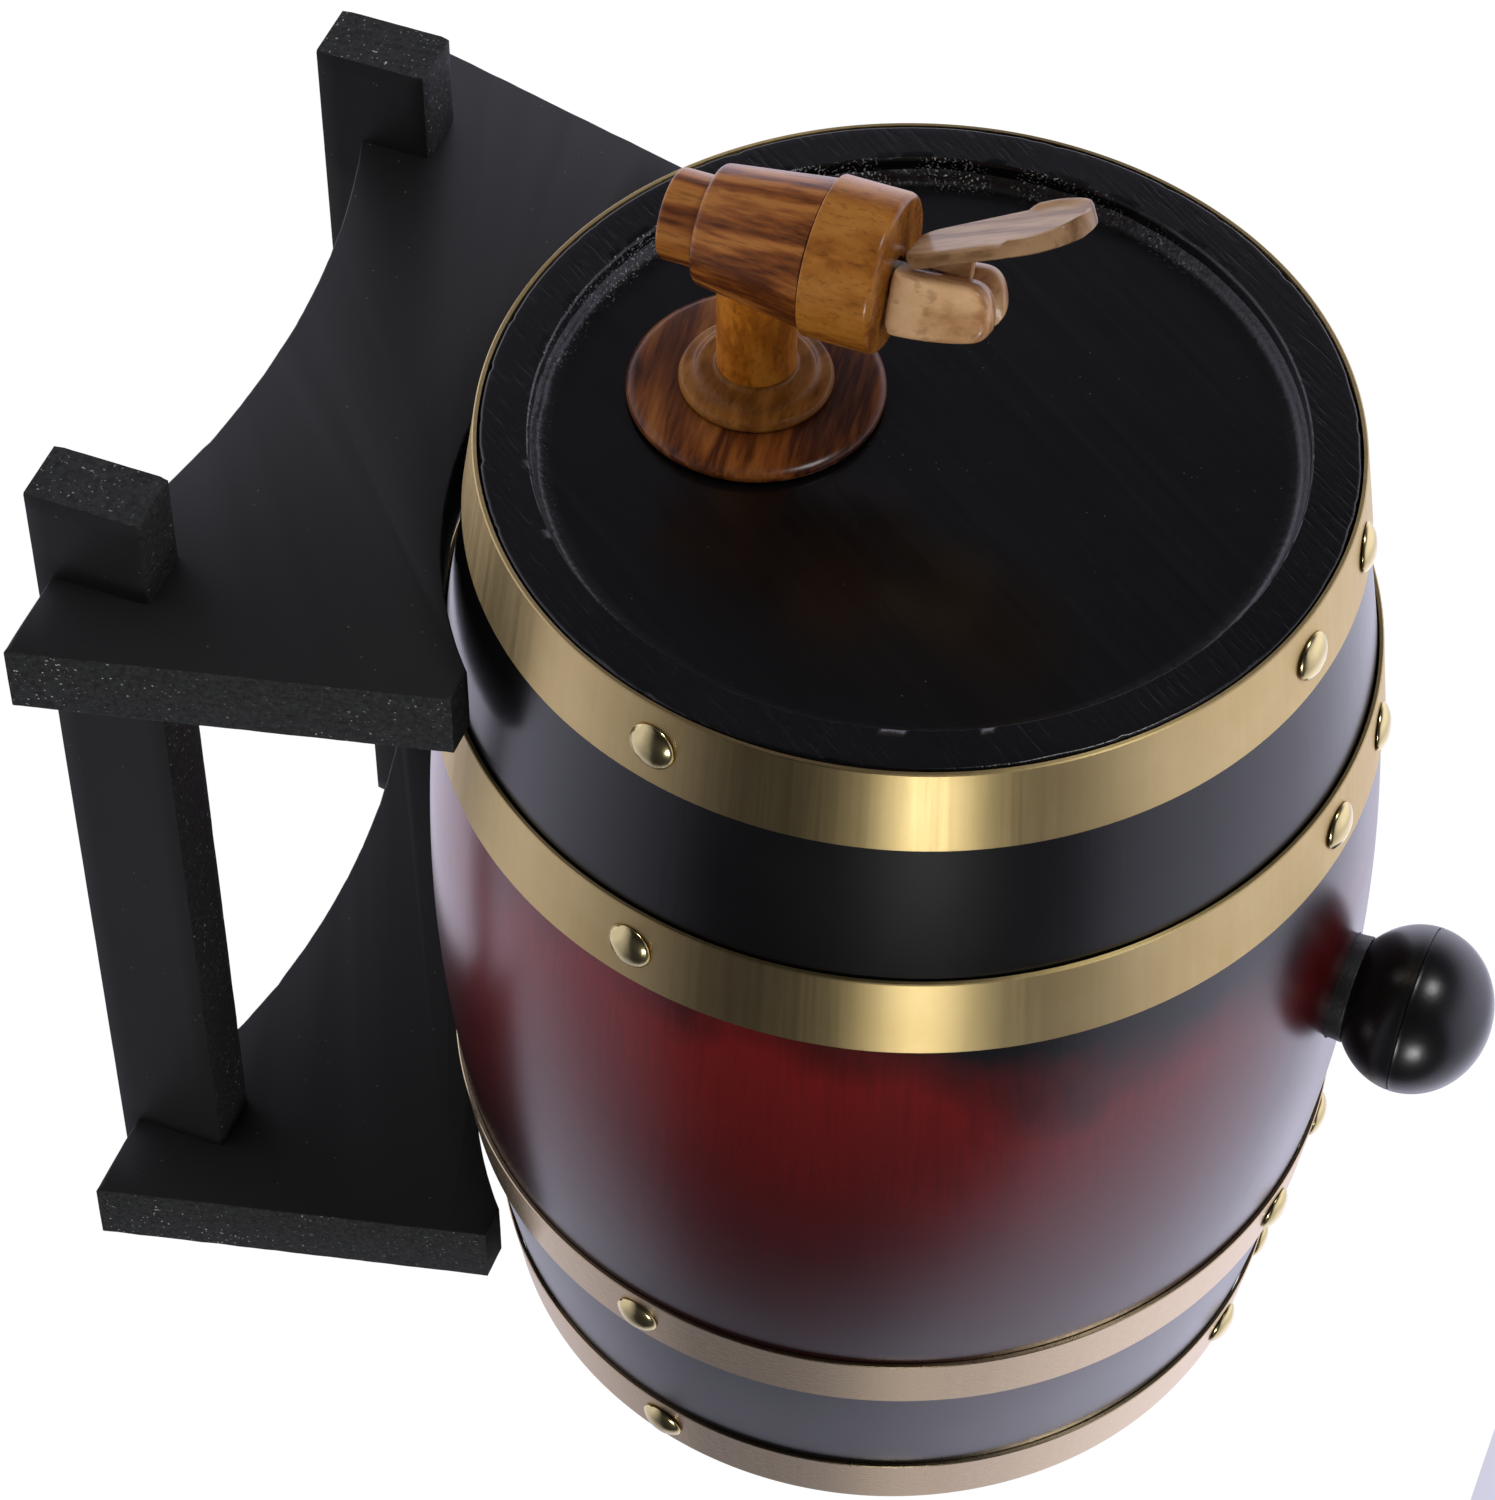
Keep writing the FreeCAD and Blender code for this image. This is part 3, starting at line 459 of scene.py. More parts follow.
def lathe(profile, centre, axis, segments, closed=True, wobble=None):
    """Ring of quads round an axis from (radius, along) pairs. Radius 0 makes a pole."""
    bm = bmesh.new()
    rows = []
    for index, (radius, along) in enumerate(profile):
        if radius < 1e-7:
            rows.append([bm.verts.new(on_axis(centre, axis, 0, 0, along))])
            continue
        row = []
        for k in range(segments):
            a = 2 * math.pi * k / segments
            r = radius + (wobble(index, a, radius, along) if wobble else 0)
            row.append(bm.verts.new(on_axis(centre, axis, r, a, along)))
        rows.append(row)
    pairs = list(zip(rows, rows[1:]))
    if closed:
        pairs.append((rows[-1], rows[0]))
    for a, b in pairs:
        for k in range(segments):
            n = (k + 1) % segments
            if len(a) == 1 and len(b) == 1:
                break
            if len(a) == 1:
                bm.faces.new((a[0], b[k], b[n]))
            elif len(b) == 1:
                bm.faces.new((a[k], b[0], a[n]))
            else:
                bm.faces.new((a[k], b[k], b[n], a[n]))
    return bm


def on_axis(centre, axis, radius, angle, along):
    s, c = math.sin(angle), math.cos(angle)
    if axis == "Y":
        return Vector((centre.x + radius * s, centre.y + along, centre.z + radius * c))
    return Vector((centre.x + radius * s, centre.y + radius * c, centre.z + along))


def rounded(points, sizes, steps=4):
    """Replace corners of an open (radius, along) line by small arcs."""
    out = [points[0]]
    for p, q, r, size in zip(points, points[1:], points[2:], sizes):
        if size <= 0:
            out.append(q)
            continue
        a = Vector(p) - Vector(q)
        b = Vector(r) - Vector(q)
        cut = min(size, a.length * 0.48, b.length * 0.48)
        start, end = Vector(q) + a.normalized() * cut, Vector(q) + b.normalized() * cut
        for i in range(steps + 1):
            t = i / steps
            mid = start.lerp(Vector(q), t).lerp(Vector(q).lerp(end, t), t)
            out.append((mid.x, mid.y))
    out.append(points[-1])
    return out


def fuzz(x, y, z, scale):
    return noise.noise(Vector((x, y, z)) * scale)


# ---- barrel ----
BARREL = Vector((0, MID_Y, AXIS_Z))
knob_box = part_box("bung_knob")
BUNG_TURN = math.atan2((knob_box[0].x + knob_box[1].x) / 2, (knob_box[0].z + knob_box[1].z) / 2 - AXIS_Z)
BUNG_LEAN = Matrix.Translation(BARREL) @ Matrix.Rotation(BUNG_TURN, 4, "Y")


def build_shell():
    """Painted wood of the barrel: outside, chimes and the hollow inside, with the bung hole."""
    inner = INNER_R
    steps = 56
    outer_line = [(stave_r(-HALF + 0.7 * MM + (2 * HALF - 1.4 * MM) * i / steps),
            -HALF + 0.7 * MM + (2 * HALF - 1.4 * MM) * i / steps) for i in range(steps + 1)]
    rear_edge = [(END_R - 0.12 * MM, HALF - 0.35 * MM), (END_R - 0.30 * MM, HALF - 0.12 * MM),
        (END_R - 0.60 * MM, HALF - 0.01 * MM), (END_R - 0.75 * MM, HALF), (END_R - 2.5 * MM, HALF),
        (END_R - 5 * MM, HALF), (inner + 2.5 * MM, HALF), (inner + 0.75 * MM, HALF),
        (inner + 0.55 * MM, HALF - 0.03 * MM), (inner + 0.22 * MM, HALF - 0.25 * MM),
        (inner + 0.05 * MM, HALF - 0.7 * MM), (inner, HALF - 1.2 * MM), (inner, HALF - 2.4 * MM),
        (inner, HALF - 3.8 * MM), (inner, HALF - 12 * MM)]
    cavity = []
    for i in range(13):
        y = (HALF - 12 * MM) * (1 - i / 6)
        t = y / (HALF - 12 * MM)
        cavity.append((89 * MM - 14.5 * MM * t * t, y))
    front_edge = [(r, -y) for r, y in reversed(rear_edge)]
    profile = outer_line + rear_edge + cavity[1:-1] + front_edge

    def wobble(index, a, radius, along):
        if abs(along) > HALF - 0.65 * MM and radius > inner + 5 * MM:
            ragged = max(0, fuzz(math.sin(a) * 9, math.cos(a) * 9, along * 50, 1.0)) * 0.55 * MM
            chip = max(0, fuzz(math.sin(a) * 34, math.cos(a) * 34, 3, 1.0) - 0.25) * 1.1 * MM
            return -(ragged + chip)
        if abs(radius - inner) < 0.7 * MM and abs(along) > HALF - 4.5 * MM:
            lump = fuzz(math.sin(a) * 26, math.cos(a) * 26, along * 420, 1.0)
            far = 0.12 + 0.88 * max(0.0, math.cos(a + FAR_SIDE))
            return far * MM * (0.30 * lump + 0.18 * fuzz(math.sin(a) * 9, math.cos(a) * 9, 5,
                    1.0)) + 0.2 * MM
        if radius > 0.08:
            return -0.12 * MM + 0.10 * MM * fuzz(math.sin(a) * 3, math.cos(a) * 3, along * 14, 1.0)
        return 0.0

    bm = lathe(profile, BARREL, "Y", 384, wobble=wobble)
    shell = new_piece("barrel_shell", bm, "sunburst_lacquer", "barrel",
        ["stave_%02d" % (i + 1) for i in range(16)], angle=50)
    bpy.ops.mesh.primitive_cone_add(vertices=96, radius1=10.0 * MM, radius2=11.95 * MM, depth=28 * MM)
    cutter = bpy.context.object
    cutter.matrix_world = BUNG_LEAN @ Matrix.Translation((0, 0, 91 * MM))
    cut = shell.modifiers.new("hole", "BOOLEAN")
    cut.object = cutter
    cut.solver = "EXACT"
    bpy.context.view_layer.update()
    graph = bpy.context.evaluated_depsgraph_get()
    mesh = bpy.data.meshes.new_from_object(shell.evaluated_get(graph))
    shell.modifiers.clear()
    shell.data = mesh
    mesh.materials.clear()
    mesh.materials.append(M["sunburst_lacquer"])
    bpy.data.objects.remove(cutter)
    shade(shell, 50)


def build_head(name, side):
    """Lacquered head with a lumpy bead of lacquer where it meets the chime."""
    face = HALF - HEAD_DEPTH
    boards = ["%s_head_board_%d" % (name, i + 1) for i in range(4)]
    r = 75.4 * MM
    line = [(0, face), (20 * MM, face), (40 * MM, face), (56 * MM, face), (68 * MM, face), (72.0 * MM, face),
        (72.5 * MM, face + 0.02 * MM)]
    line += [(73.1 * MM, face + 0.15 * MM), (73.6 * MM, face + 0.50 * MM), (74.0 * MM, face + 1.05 * MM),
        (74.5 * MM, face + 1.9 * MM), (r, face + 2.6 * MM)]
    line += [(r, face - 2 * MM), (r, face - 6 * MM), (74.3 * MM, face - 7.5 * MM),
        (72.3 * MM, face - 9 * MM), (0, face - 9 * MM)]

    def wobble(index, a, radius, along):
        if along > face + 0.01 * MM and radius < r - 0.01 * MM:
            far = 0.12 + 0.88 * max(0.0, math.cos(a + FAR_SIDE))
            return -far * MM * (0.7 * max(0, fuzz(math.sin(a) * 7, math.cos(a) * 7, 1, 1.0))
                + 0.35 * fuzz(math.sin(a) * 30, math.cos(a) * 30, along * 300, 1.0)) - 0.12 * MM
        return 0.0

    line = [(a, b * side) for a, b in line]
    bm = lathe(line, BARREL, "Y", 360, closed=False, wobble=lambda i, a, rad, al: wobble(i, a, rad,
            al * side))
    new_piece(name + "_head", bm, "black_lacquer", "barrel", boards, angle=50)


def hoop_line(name):
    low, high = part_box(name)
    y0, y1 = low.y - MID_Y, high.y - MID_Y
    side = 1 if y0 + y1 > 0 else -1
    inside, outside = (y0, y1) if side > 0 else (y1, y0)
    return side, inside, stave_r(inside) + 0.05 * MM, outside, stave_r(outside) + 0.35 * MM


def build_hoop(name):
    side, inside, r_in, outside, r_out = hoop_line(name)
    t = 0.9 * MM
    slope = (r_out - r_in) / (outside - inside)
    e = 0.22 * MM * side
    profile = [(r_in, inside), (r_out, outside), (r_out + t - abs(e), outside),
        (r_out + t - slope * e, outside - e), ((r_in + r_out) / 2 + t, (inside + outside) / 2),
        (r_in + t + slope * e, inside + e), (r_in + t - abs(e), inside)]

    def wobble(index, a, radius, along):
        return 0.05 * MM * fuzz(math.sin(a) * 4, math.cos(a) * 4, along * 40, 1.0) - 0.03 * MM

    bm = lathe(profile, BARREL, "Y", 256, wobble=wobble)
    new_piece(name + "_strip", bm, "hoop_brass", "barrel", [name], angle=28)


TACK_ANGLES = {
    "front_chime_hoop": (-7.2, 12.6, 104.0, -104.0), "front_quarter_hoop": (-7.7, 8.7, 104.0, -104.0),
    "rear_quarter_hoop": (-5.9, 10.4, 104.0, -104.0), "rear_chime_hoop": (-7.0, 9.9, 104.0, -104.0)}


def build_tacks(hoop_name):
    _, inside, r_in, outside, r_out = hoop_line(hoop_name)
    mid = (inside + outside) / 2
    slope = math.atan((r_out - r_in) / (outside - inside))
    bm = bmesh.new()
    for angle in TACK_ANGLES[hoop_name]:
        tilt = Matrix.Rotation(math.radians(random.uniform(-1.6, 1.6)), 4,
            "X") @ Matrix.Rotation(math.radians(random.uniform(-1.6, 1.6)), 4, "Y")
        place = (Matrix.Translation(BARREL) @ Matrix.Rotation(math.radians(angle), 4, "Y")
            @ Matrix.Translation(Vector((0, mid, (r_in + r_out) / 2 + 0.9 * MM)))
            @ Matrix.Rotation(slope, 4, "X") @ tilt)
        rows = []
        profile = [(0.9, -6.0), (0.9, 0.1), (4.7, 0.12), (4.95, 0.3), (4.9, 0.55), (4.5, 0.95), (3.8, 1.45),
            (2.9, 1.87), (1.9, 2.13), (0.9, 2.27)]
        for radius, height in profile:
            row = []
            for k in range(40):
                a = 2 * math.pi * k / 40
                dent = 0.10 * fuzz(math.cos(a) * radius * 0.35 + angle, math.sin(a) * radius * 0.35,
                    height * 0.3 + mid * 90, 1.0) if height > 0.5 else 0
                row.append(bm.verts.new(place @ (Vector((radius * math.cos(a), radius * math.sin(a),
                                    height + dent - 0.05)) * MM)))
            rows.append(row)
        tip = bm.verts.new(place @ Vector((0, 0, 2.26 * MM)))
        root = bm.verts.new(place @ Vector((0, 0, -7.8 * MM)))
        for a, b in zip(rows, rows[1:]):
            for k in range(40):
                bm.faces.new((a[k], a[(k + 1) % 40], b[(k + 1) % 40], b[k]))
        for k in range(40):
            bm.faces.new((rows[-1][k], rows[-1][(k + 1) % 40], tip))
            bm.faces.new((rows[0][(k + 1) % 40], rows[0][k], root))
    tacks = hoop_name.replace("hoop", "tacks")
    new_piece(tacks + "_domed", bm, "tack_brass", "barrel", [tacks], angle=60)


# ---- bung ----
def build_bung():
    """Ball handle with a moulding groove on a tapered rubber plug, turned a little off the barrel's top."""
    half = 15.85 * MM
    wide = 17.62 * MM
    mid = 114.0 * MM
    line = []
    for i in range(41):
        t = math.pi / 2 - (math.pi / 2 + math.radians(48.5)) * i / 40
        line.append((max(wide * math.cos(t), 0.0), mid + half * math.sin(t)))
    grooved = []
    for (r0, h0), (r1, h1) in zip(line, line[1:]):
        if abs(h0 - mid) > 0.5 * MM:
            grooved.append((r0, h0))
        if h0 > mid >= h1:
            grooved += [(wide - 0.01 * MM, mid + 0.34 * MM), (wide + 0.06 * MM, mid + 0.18 * MM),
                (wide - 0.30 * MM, mid + 0.07 * MM), (wide - 0.30 * MM, mid - 0.07 * MM),
                (wide + 0.04 * MM, mid - 0.18 * MM), (wide - 0.01 * MM, mid - 0.34 * MM)]
    end = line[-1]
    grooved.append(end)
    grooved[0] = (0, grooved[0][1])
    grooved += [(11.3 * MM, end[1] - 0.3 * MM), (4 * MM, end[1] - 0.3 * MM), (4 * MM, 82 * MM), (0, 82 * MM)]
    bm = lathe(grooved, Vector(), "Z", 144, closed=False)
    bm.transform(BUNG_LEAN)
    new_piece("bung_ball", bm, "knob_black", "bung", ["bung_knob"], angle=35)

    top_h, low_h = end[1], 76.0 * MM
    line = [(4.05 * MM, top_h - 0.35 * MM), (11.0 * MM, top_h - 0.35 * MM), (11.42 * MM, top_h - 0.6 * MM)]
    for i in range(15):
        h = top_h - 0.9 * MM - (top_h - low_h - 3.0 * MM) * i / 14
        line.append((11.3 * MM + 0.073 * (h - BILGE), h))
    line += [(9.2 * MM, low_h + 0.8 * MM), (8.2 * MM, low_h + 0.05 * MM), (0, low_h + 0.05 * MM)]

    def wobble(index, a, radius, along):
        if along > BILGE + 0.5 * MM and 10 * MM < radius:
            return 0.14 * MM * fuzz(math.sin(a) * 8, math.cos(a) * 8, along * 500, 1.0) - 0.1 * MM
        return 0.0

    bm = lathe(line, Vector(), "Z", 96, closed=False, wobble=wobble)
    bm.transform(BUNG_LEAN)
    new_piece("bung_plug_tapered", bm, "bung_rubber", "bung", ["bung_plug"], angle=50)


# ---- stand ----
def mark_sawn(obj, is_sawn):
    layer = obj.data.attributes.new("sawn", "FLOAT", "FACE")
    layer.data.foreach_set("value", [1.0 if is_sawn(p) else 0.0 for p in obj.data.polygons])


def arc_points(a, mid, b, count):
    """Points on the circle through three (x, z) points, from a to b."""
    ax, az = a
    bx, bz = mid
    cx, cz = b
    d = 2 * (ax * (bz - cz) + bx * (cz - az) + cx * (az - bz))
    ux = ((ax ** 2 + az ** 2) * (bz - cz) + (bx ** 2 + bz ** 2) * (cz - az)
        + (cx ** 2 + cz ** 2) * (az - bz)) / d
    uz = ((ax ** 2 + az ** 2) * (cx - bx) + (bx ** 2 + bz ** 2) * (ax - cx)
        + (cx ** 2 + cz ** 2) * (bx - ax)) / d
    r = math.hypot(ax - ux, az - uz)
    t0, t1 = math.atan2(az - uz, ax - ux), math.atan2(cz - uz, cx - ux)
    tm = math.atan2(bz - uz, bx - ux)
    if not (min(t0, t1) <= tm <= max(t0, t1)):
        if t0 < t1:
            t0 += 2 * math.pi
        else:
            t1 += 2 * math.pi
    return [(ux + r * math.cos(t0 + (t1 - t0) * i / count), uz + r * math.sin(t0 + (t1 - t0) * i / count))
        for i in range(count + 1)]


def subdivide_line(points, step):
    out = []
    for p, q in zip(points, points[1:] + points[:1]):
        n = max(1, int(math.hypot(q[0] - p[0], q[1] - p[1]) / step))
        out += [(p[0] + (q[0] - p[0]) * i / n, p[1] + (q[1] - p[1]) * i / n) for i in range(n)]
    return out


def build_plate(name):
    """Stand plate with slightly chipped, sawn edges."""
    low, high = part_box(name)
    rail_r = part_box("right_rail")
    wide, top = high.x, high.z
    shoulder = 74.2 * MM
    bottom = low.z
    inner_y = min(abs(low.y), abs(high.y))
    centre_z = AXIS_Z - stave_r(inner_y - abs(MID_Y)) - 0.3 * MM + CRADLE_R
    reach = math.sqrt(CRADLE_R ** 2 - (centre_z - top) ** 2)
    cradle = arc_points((reach, top), (0, centre_z - CRADLE_R), (-reach, top), 90)
    arch_x = rail_r[1].x
    arch = arc_points((-arch_x, bottom), (0, 18.8 * MM), (arch_x, bottom), 80)
    outline = [(arch_x, bottom), (wide, bottom), (shoulder, top),
        (reach, top)] + cradle[1:-1] + [(-reach, top), (-shoulder, top), (-wide, bottom),
        (-arch_x, bottom)] + arch[1:-1]
    outline = subdivide_line(outline, 1.6 * MM)
    bm = bmesh.new()
    layers = []
    depth = high.y - low.y
    shrink = [(0.0, 0.55), (0.12, 0.22), (0.4, 0.05), (depth / MM / 2, 0.0), (depth / MM - 0.4, 0.05),
        (depth / MM - 0.12, 0.22), (depth / MM, 0.55)]
    n = len(outline)
    for y, inset in shrink:
        row = []
        for i, (x, z) in enumerate(outline):
            px, pz = outline[i - 1]
            qx, qz = outline[(i + 1) % n]
            t = Vector((qx - px, qz - pz)).normalized()
            inward = Vector((-t.y, t.x))
            rough_in = 0.12 * max(0, fuzz(x * 400, z * 400, low.y * 90, 1.0)) + 0.5 * max(0,
                fuzz(x * 90, z * 90, low.y * 70, 1.0) - 0.25)
            near_arch = abs(x) < arch_x and z < 19.5 * MM
            amount = (inset * (0.75 + 0.5 * fuzz(x * 220, z * 220, y + low.y * 50, 1.0))
                + rough_in * (1.6 if near_arch else 0.6)) * MM
            row.append(bm.verts.new((x + inward.x * amount, low.y + y * MM, z + inward.y * amount)))
        layers.append(row)
    for a, b in zip(layers, layers[1:]):
        for i in range(n):
            bm.faces.new((a[i], a[(i + 1) % n], b[(i + 1) % n], b[i]))
    bm.faces.new(layers[0])
    bm.faces.new(list(reversed(layers[-1])))
    bmesh.ops.recalc_face_normals(bm, faces=bm.faces)
    obj = new_piece(name + "_board", bm, "stand_paint", "stand", [name], smooth=False)
    for p in obj.data.polygons:
        p.use_smooth = len(p.vertices) == 4
    obj.data.set_sharp_from_angle(angle=math.radians(50))
    mark_sawn(obj, lambda p: abs(p.normal.y) < 0.6)


def build_rail(name):
    low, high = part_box(name)
    bm = bmesh.new()
    cuts = 60
    sx, sy, sz = high.x - low.x, high.y - low.y, high.z - low.z
    ring_w, ring_h = 8, 12
    loop = [(i / ring_w, 0.0) for i in range(ring_w)] + [(1.0, i / ring_h) for i in range(ring_h)]
    loop += [(1 - i / ring_w, 1.0) for i in range(ring_w)] + [(0.0, 1 - i / ring_h) for i in range(ring_h)]
    rows = []
    stations = [0.0, 0.002] + [i / cuts for i in range(1, cuts)] + [0.998, 1.0]
    for s in stations:
        row = []
        end = s in (0.0, 1.0)
        for u, v in loop:
            x, z = low.x + sx * u, low.z + sz * v
            y = low.y + sy * s
            corner = (u in (0.0, 1.0)) and (v in (0.0, 1.0))
            pull = 0.35 * MM * (1.0 if corner else 0.0) + (0.30 * MM if end else 0.0)
            pull += 0.10 * MM * max(0, fuzz(x * 300, y * 120, z * 300, 1.0))
            cx, cz = (u - 0.5) * 2, (v - 0.5) * 2
            x -= pull * (1 if cx > 0.99 else -1 if cx < -0.99 else 0)
            if v > 0.0:
                z -= pull * (1 if cz > 0.99 else 0)
            row.append(bm.verts.new((x, y, z)))
        rows.append(row)
    n = len(loop)
    for a, b in zip(rows, rows[1:]):
        for i in range(n):
            bm.faces.new((a[i], a[(i + 1) % n], b[(i + 1) % n], b[i]))
    bm.faces.new(rows[0])
    bm.faces.new(list(reversed(rows[-1])))
    obj = new_piece(name + "_bar", bm, "stand_paint", "stand", [name], smooth=False)
    for p in obj.data.polygons:
        p.use_smooth = len(p.vertices) == 4
    obj.data.set_sharp_from_angle(angle=math.radians(40))
    mark_sawn(obj, lambda p: abs(p.normal.y) > 0.7 or p.normal.z > 0.7)


# ---- tap ----
SHANK = Vector((TAP.x, MID_Y, SHANK_Z))


def build_tap():
    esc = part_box("escutcheon")
    front, back = esc[0].y - MID_Y, esc[1].y - MID_Y
    r = (esc[1].z - esc[0].z) / 2
    m = MM
    line = rounded([(8.0 * m, back), (r - 0.1 * m, back), (r - 0.05 * m, back - 1.3 * m),
            (r - 1.4 * m, back - 2.25 * m), (r - 8 * m, front + 0.05 * m), (8.0 * m, front + 0.05 * m)],
        [0.4 * m, 0.9 * m, 1.6 * m, 5 * m], 5)
    new_piece("escutcheon_disc", lathe(line, SHANK, "Y", 128), "walnut_print", "barrel", ["escutcheon"],
        material="walnut_disc", angle=30)

    f = front
    shank_front = TAP.y - MID_Y + 10.4 * m
    line = [(4.5 * m, -98 * m), (7.0 * m, -98 * m), (7.8 * m, -98.8 * m), (7.8 * m, f - 0.02 * m)]
    flange = rounded([(7.8 * m, f - 0.02 * m), (14.9 * m, f - 0.02 * m), (15.25 * m, f - 0.9 * m),
            (14.7 * m, f - 2.2 * m), (12.4 * m, f - 2.6 * m), (11.2 * m, f - 3.9 * m),
            (7.9 * m, f - 4.0 * m), (7.75 * m, f - 6.0 * m)],
        [0.5 * m, 0.8 * m, 0.7 * m, 1.0 * m, 1.2 * m, 1.0 * m], 5)
    line += [(7.78 * m, shank_front), (4.5 * m, shank_front)]
    # the shank takes the brighter amber copy: its own redder tone plus painted light
    new_piece("tap_shank_turned", lathe(line, SHANK, "Y", 96), "amber_print", "barrel", ["tap_shank"],
        material="amber_stem_lit", angle=35)
    new_piece("tap_shank_flange", lathe(flange + [(7.0 * m, f - 6.0 * m), (7.0 * m, f - 0.02 * m)], SHANK,
            "Y", 96), "amber_print", "barrel", material="flange_print", angle=35)

    line = rounded([(6.2 * m, -44.5 * m), (6.2 * m, -51.9 * m), (8.9 * m, -51.9 * m), (8.95 * m, -44.1 * m),
            (11.7 * m, -44.0 * m), (14.6 * m, -21.45 * m), (12.9 * m, -21.4 * m), (12.9 * m, -12.7 * m),
            (10.2 * m, -12.7 * m), (10.2 * m, -42 * m), (5.4 * m, -42 * m), (5.4 * m, -43.5 * m),
            (6.2 * m, -44.5 * m)], [0.3 * m, 0.9 * m, 0.5 * m, 1.3 * m, 0.2 * m, 0, 0, 0, 0, 0, 0], 5)
    new_piece("tap_body_turned", lathe(line[:-1], TAP, "Z", 128), "walnut_print", "barrel", ["tap_body"],
        angle=35)

    line = rounded([(13.15 * m, -11.4 * m), (13.15 * m, -21.15 * m), (15.6 * m, -21.15 * m),
            (15.6 * m, -6.9 * m), (12.2 * m, -6.82 * m), (3.6 * m, -6.82 * m), (3.6 * m, -11.4 * m),
            (13.15 * m, -11.4 * m)], [0, 0.5 * m, 3.4 * m, 0.6 * m, 0.4 * m, 0], 7)
    new_piece("bonnet_turned", lathe(line[:-1], TAP, "Z", 128), "amber_print", "barrel", ["bonnet"],
        angle=35)


def superellipse_row(centre, side, up, half_side, half_up, power, count):
    row = []
    for k in range(count):
        a = 2 * math.pi * k / count
        c, s = math.cos(a), math.sin(a)
        row.append(centre + side * (half_side * math.copysign(abs(c) ** (2 / power), c))
            + up * (half_up * math.copysign(abs(s) ** (2 / power), s)))
    return row


def loft(bm, rows):
    verts = [[bm.verts.new(p) for p in row] for row in rows]
    n = len(verts[0])
    for a, b in zip(verts, verts[1:]):
        for k in range(n):
            bm.faces.new((a[k], a[(k + 1) % n], b[(k + 1) % n], b[k]))
    bm.faces.new(list(reversed(verts[0])))
    bm.faces.new(verts[-1])


SWIVEL = math.radians(22)
F = Vector((-math.sin(SWIVEL), -math.cos(SWIVEL), 0))
S = Vector((math.cos(SWIVEL), -math.sin(SWIVEL), 0))
UP = Vector((0, 0, 1))


def lever_point(q, s, z):
    """Forward, sideways and up in the lever's own directions, in millimetres from the tap's axis."""
    return TAP + F * (q * MM) + S * (s * MM) + UP * (z * MM)


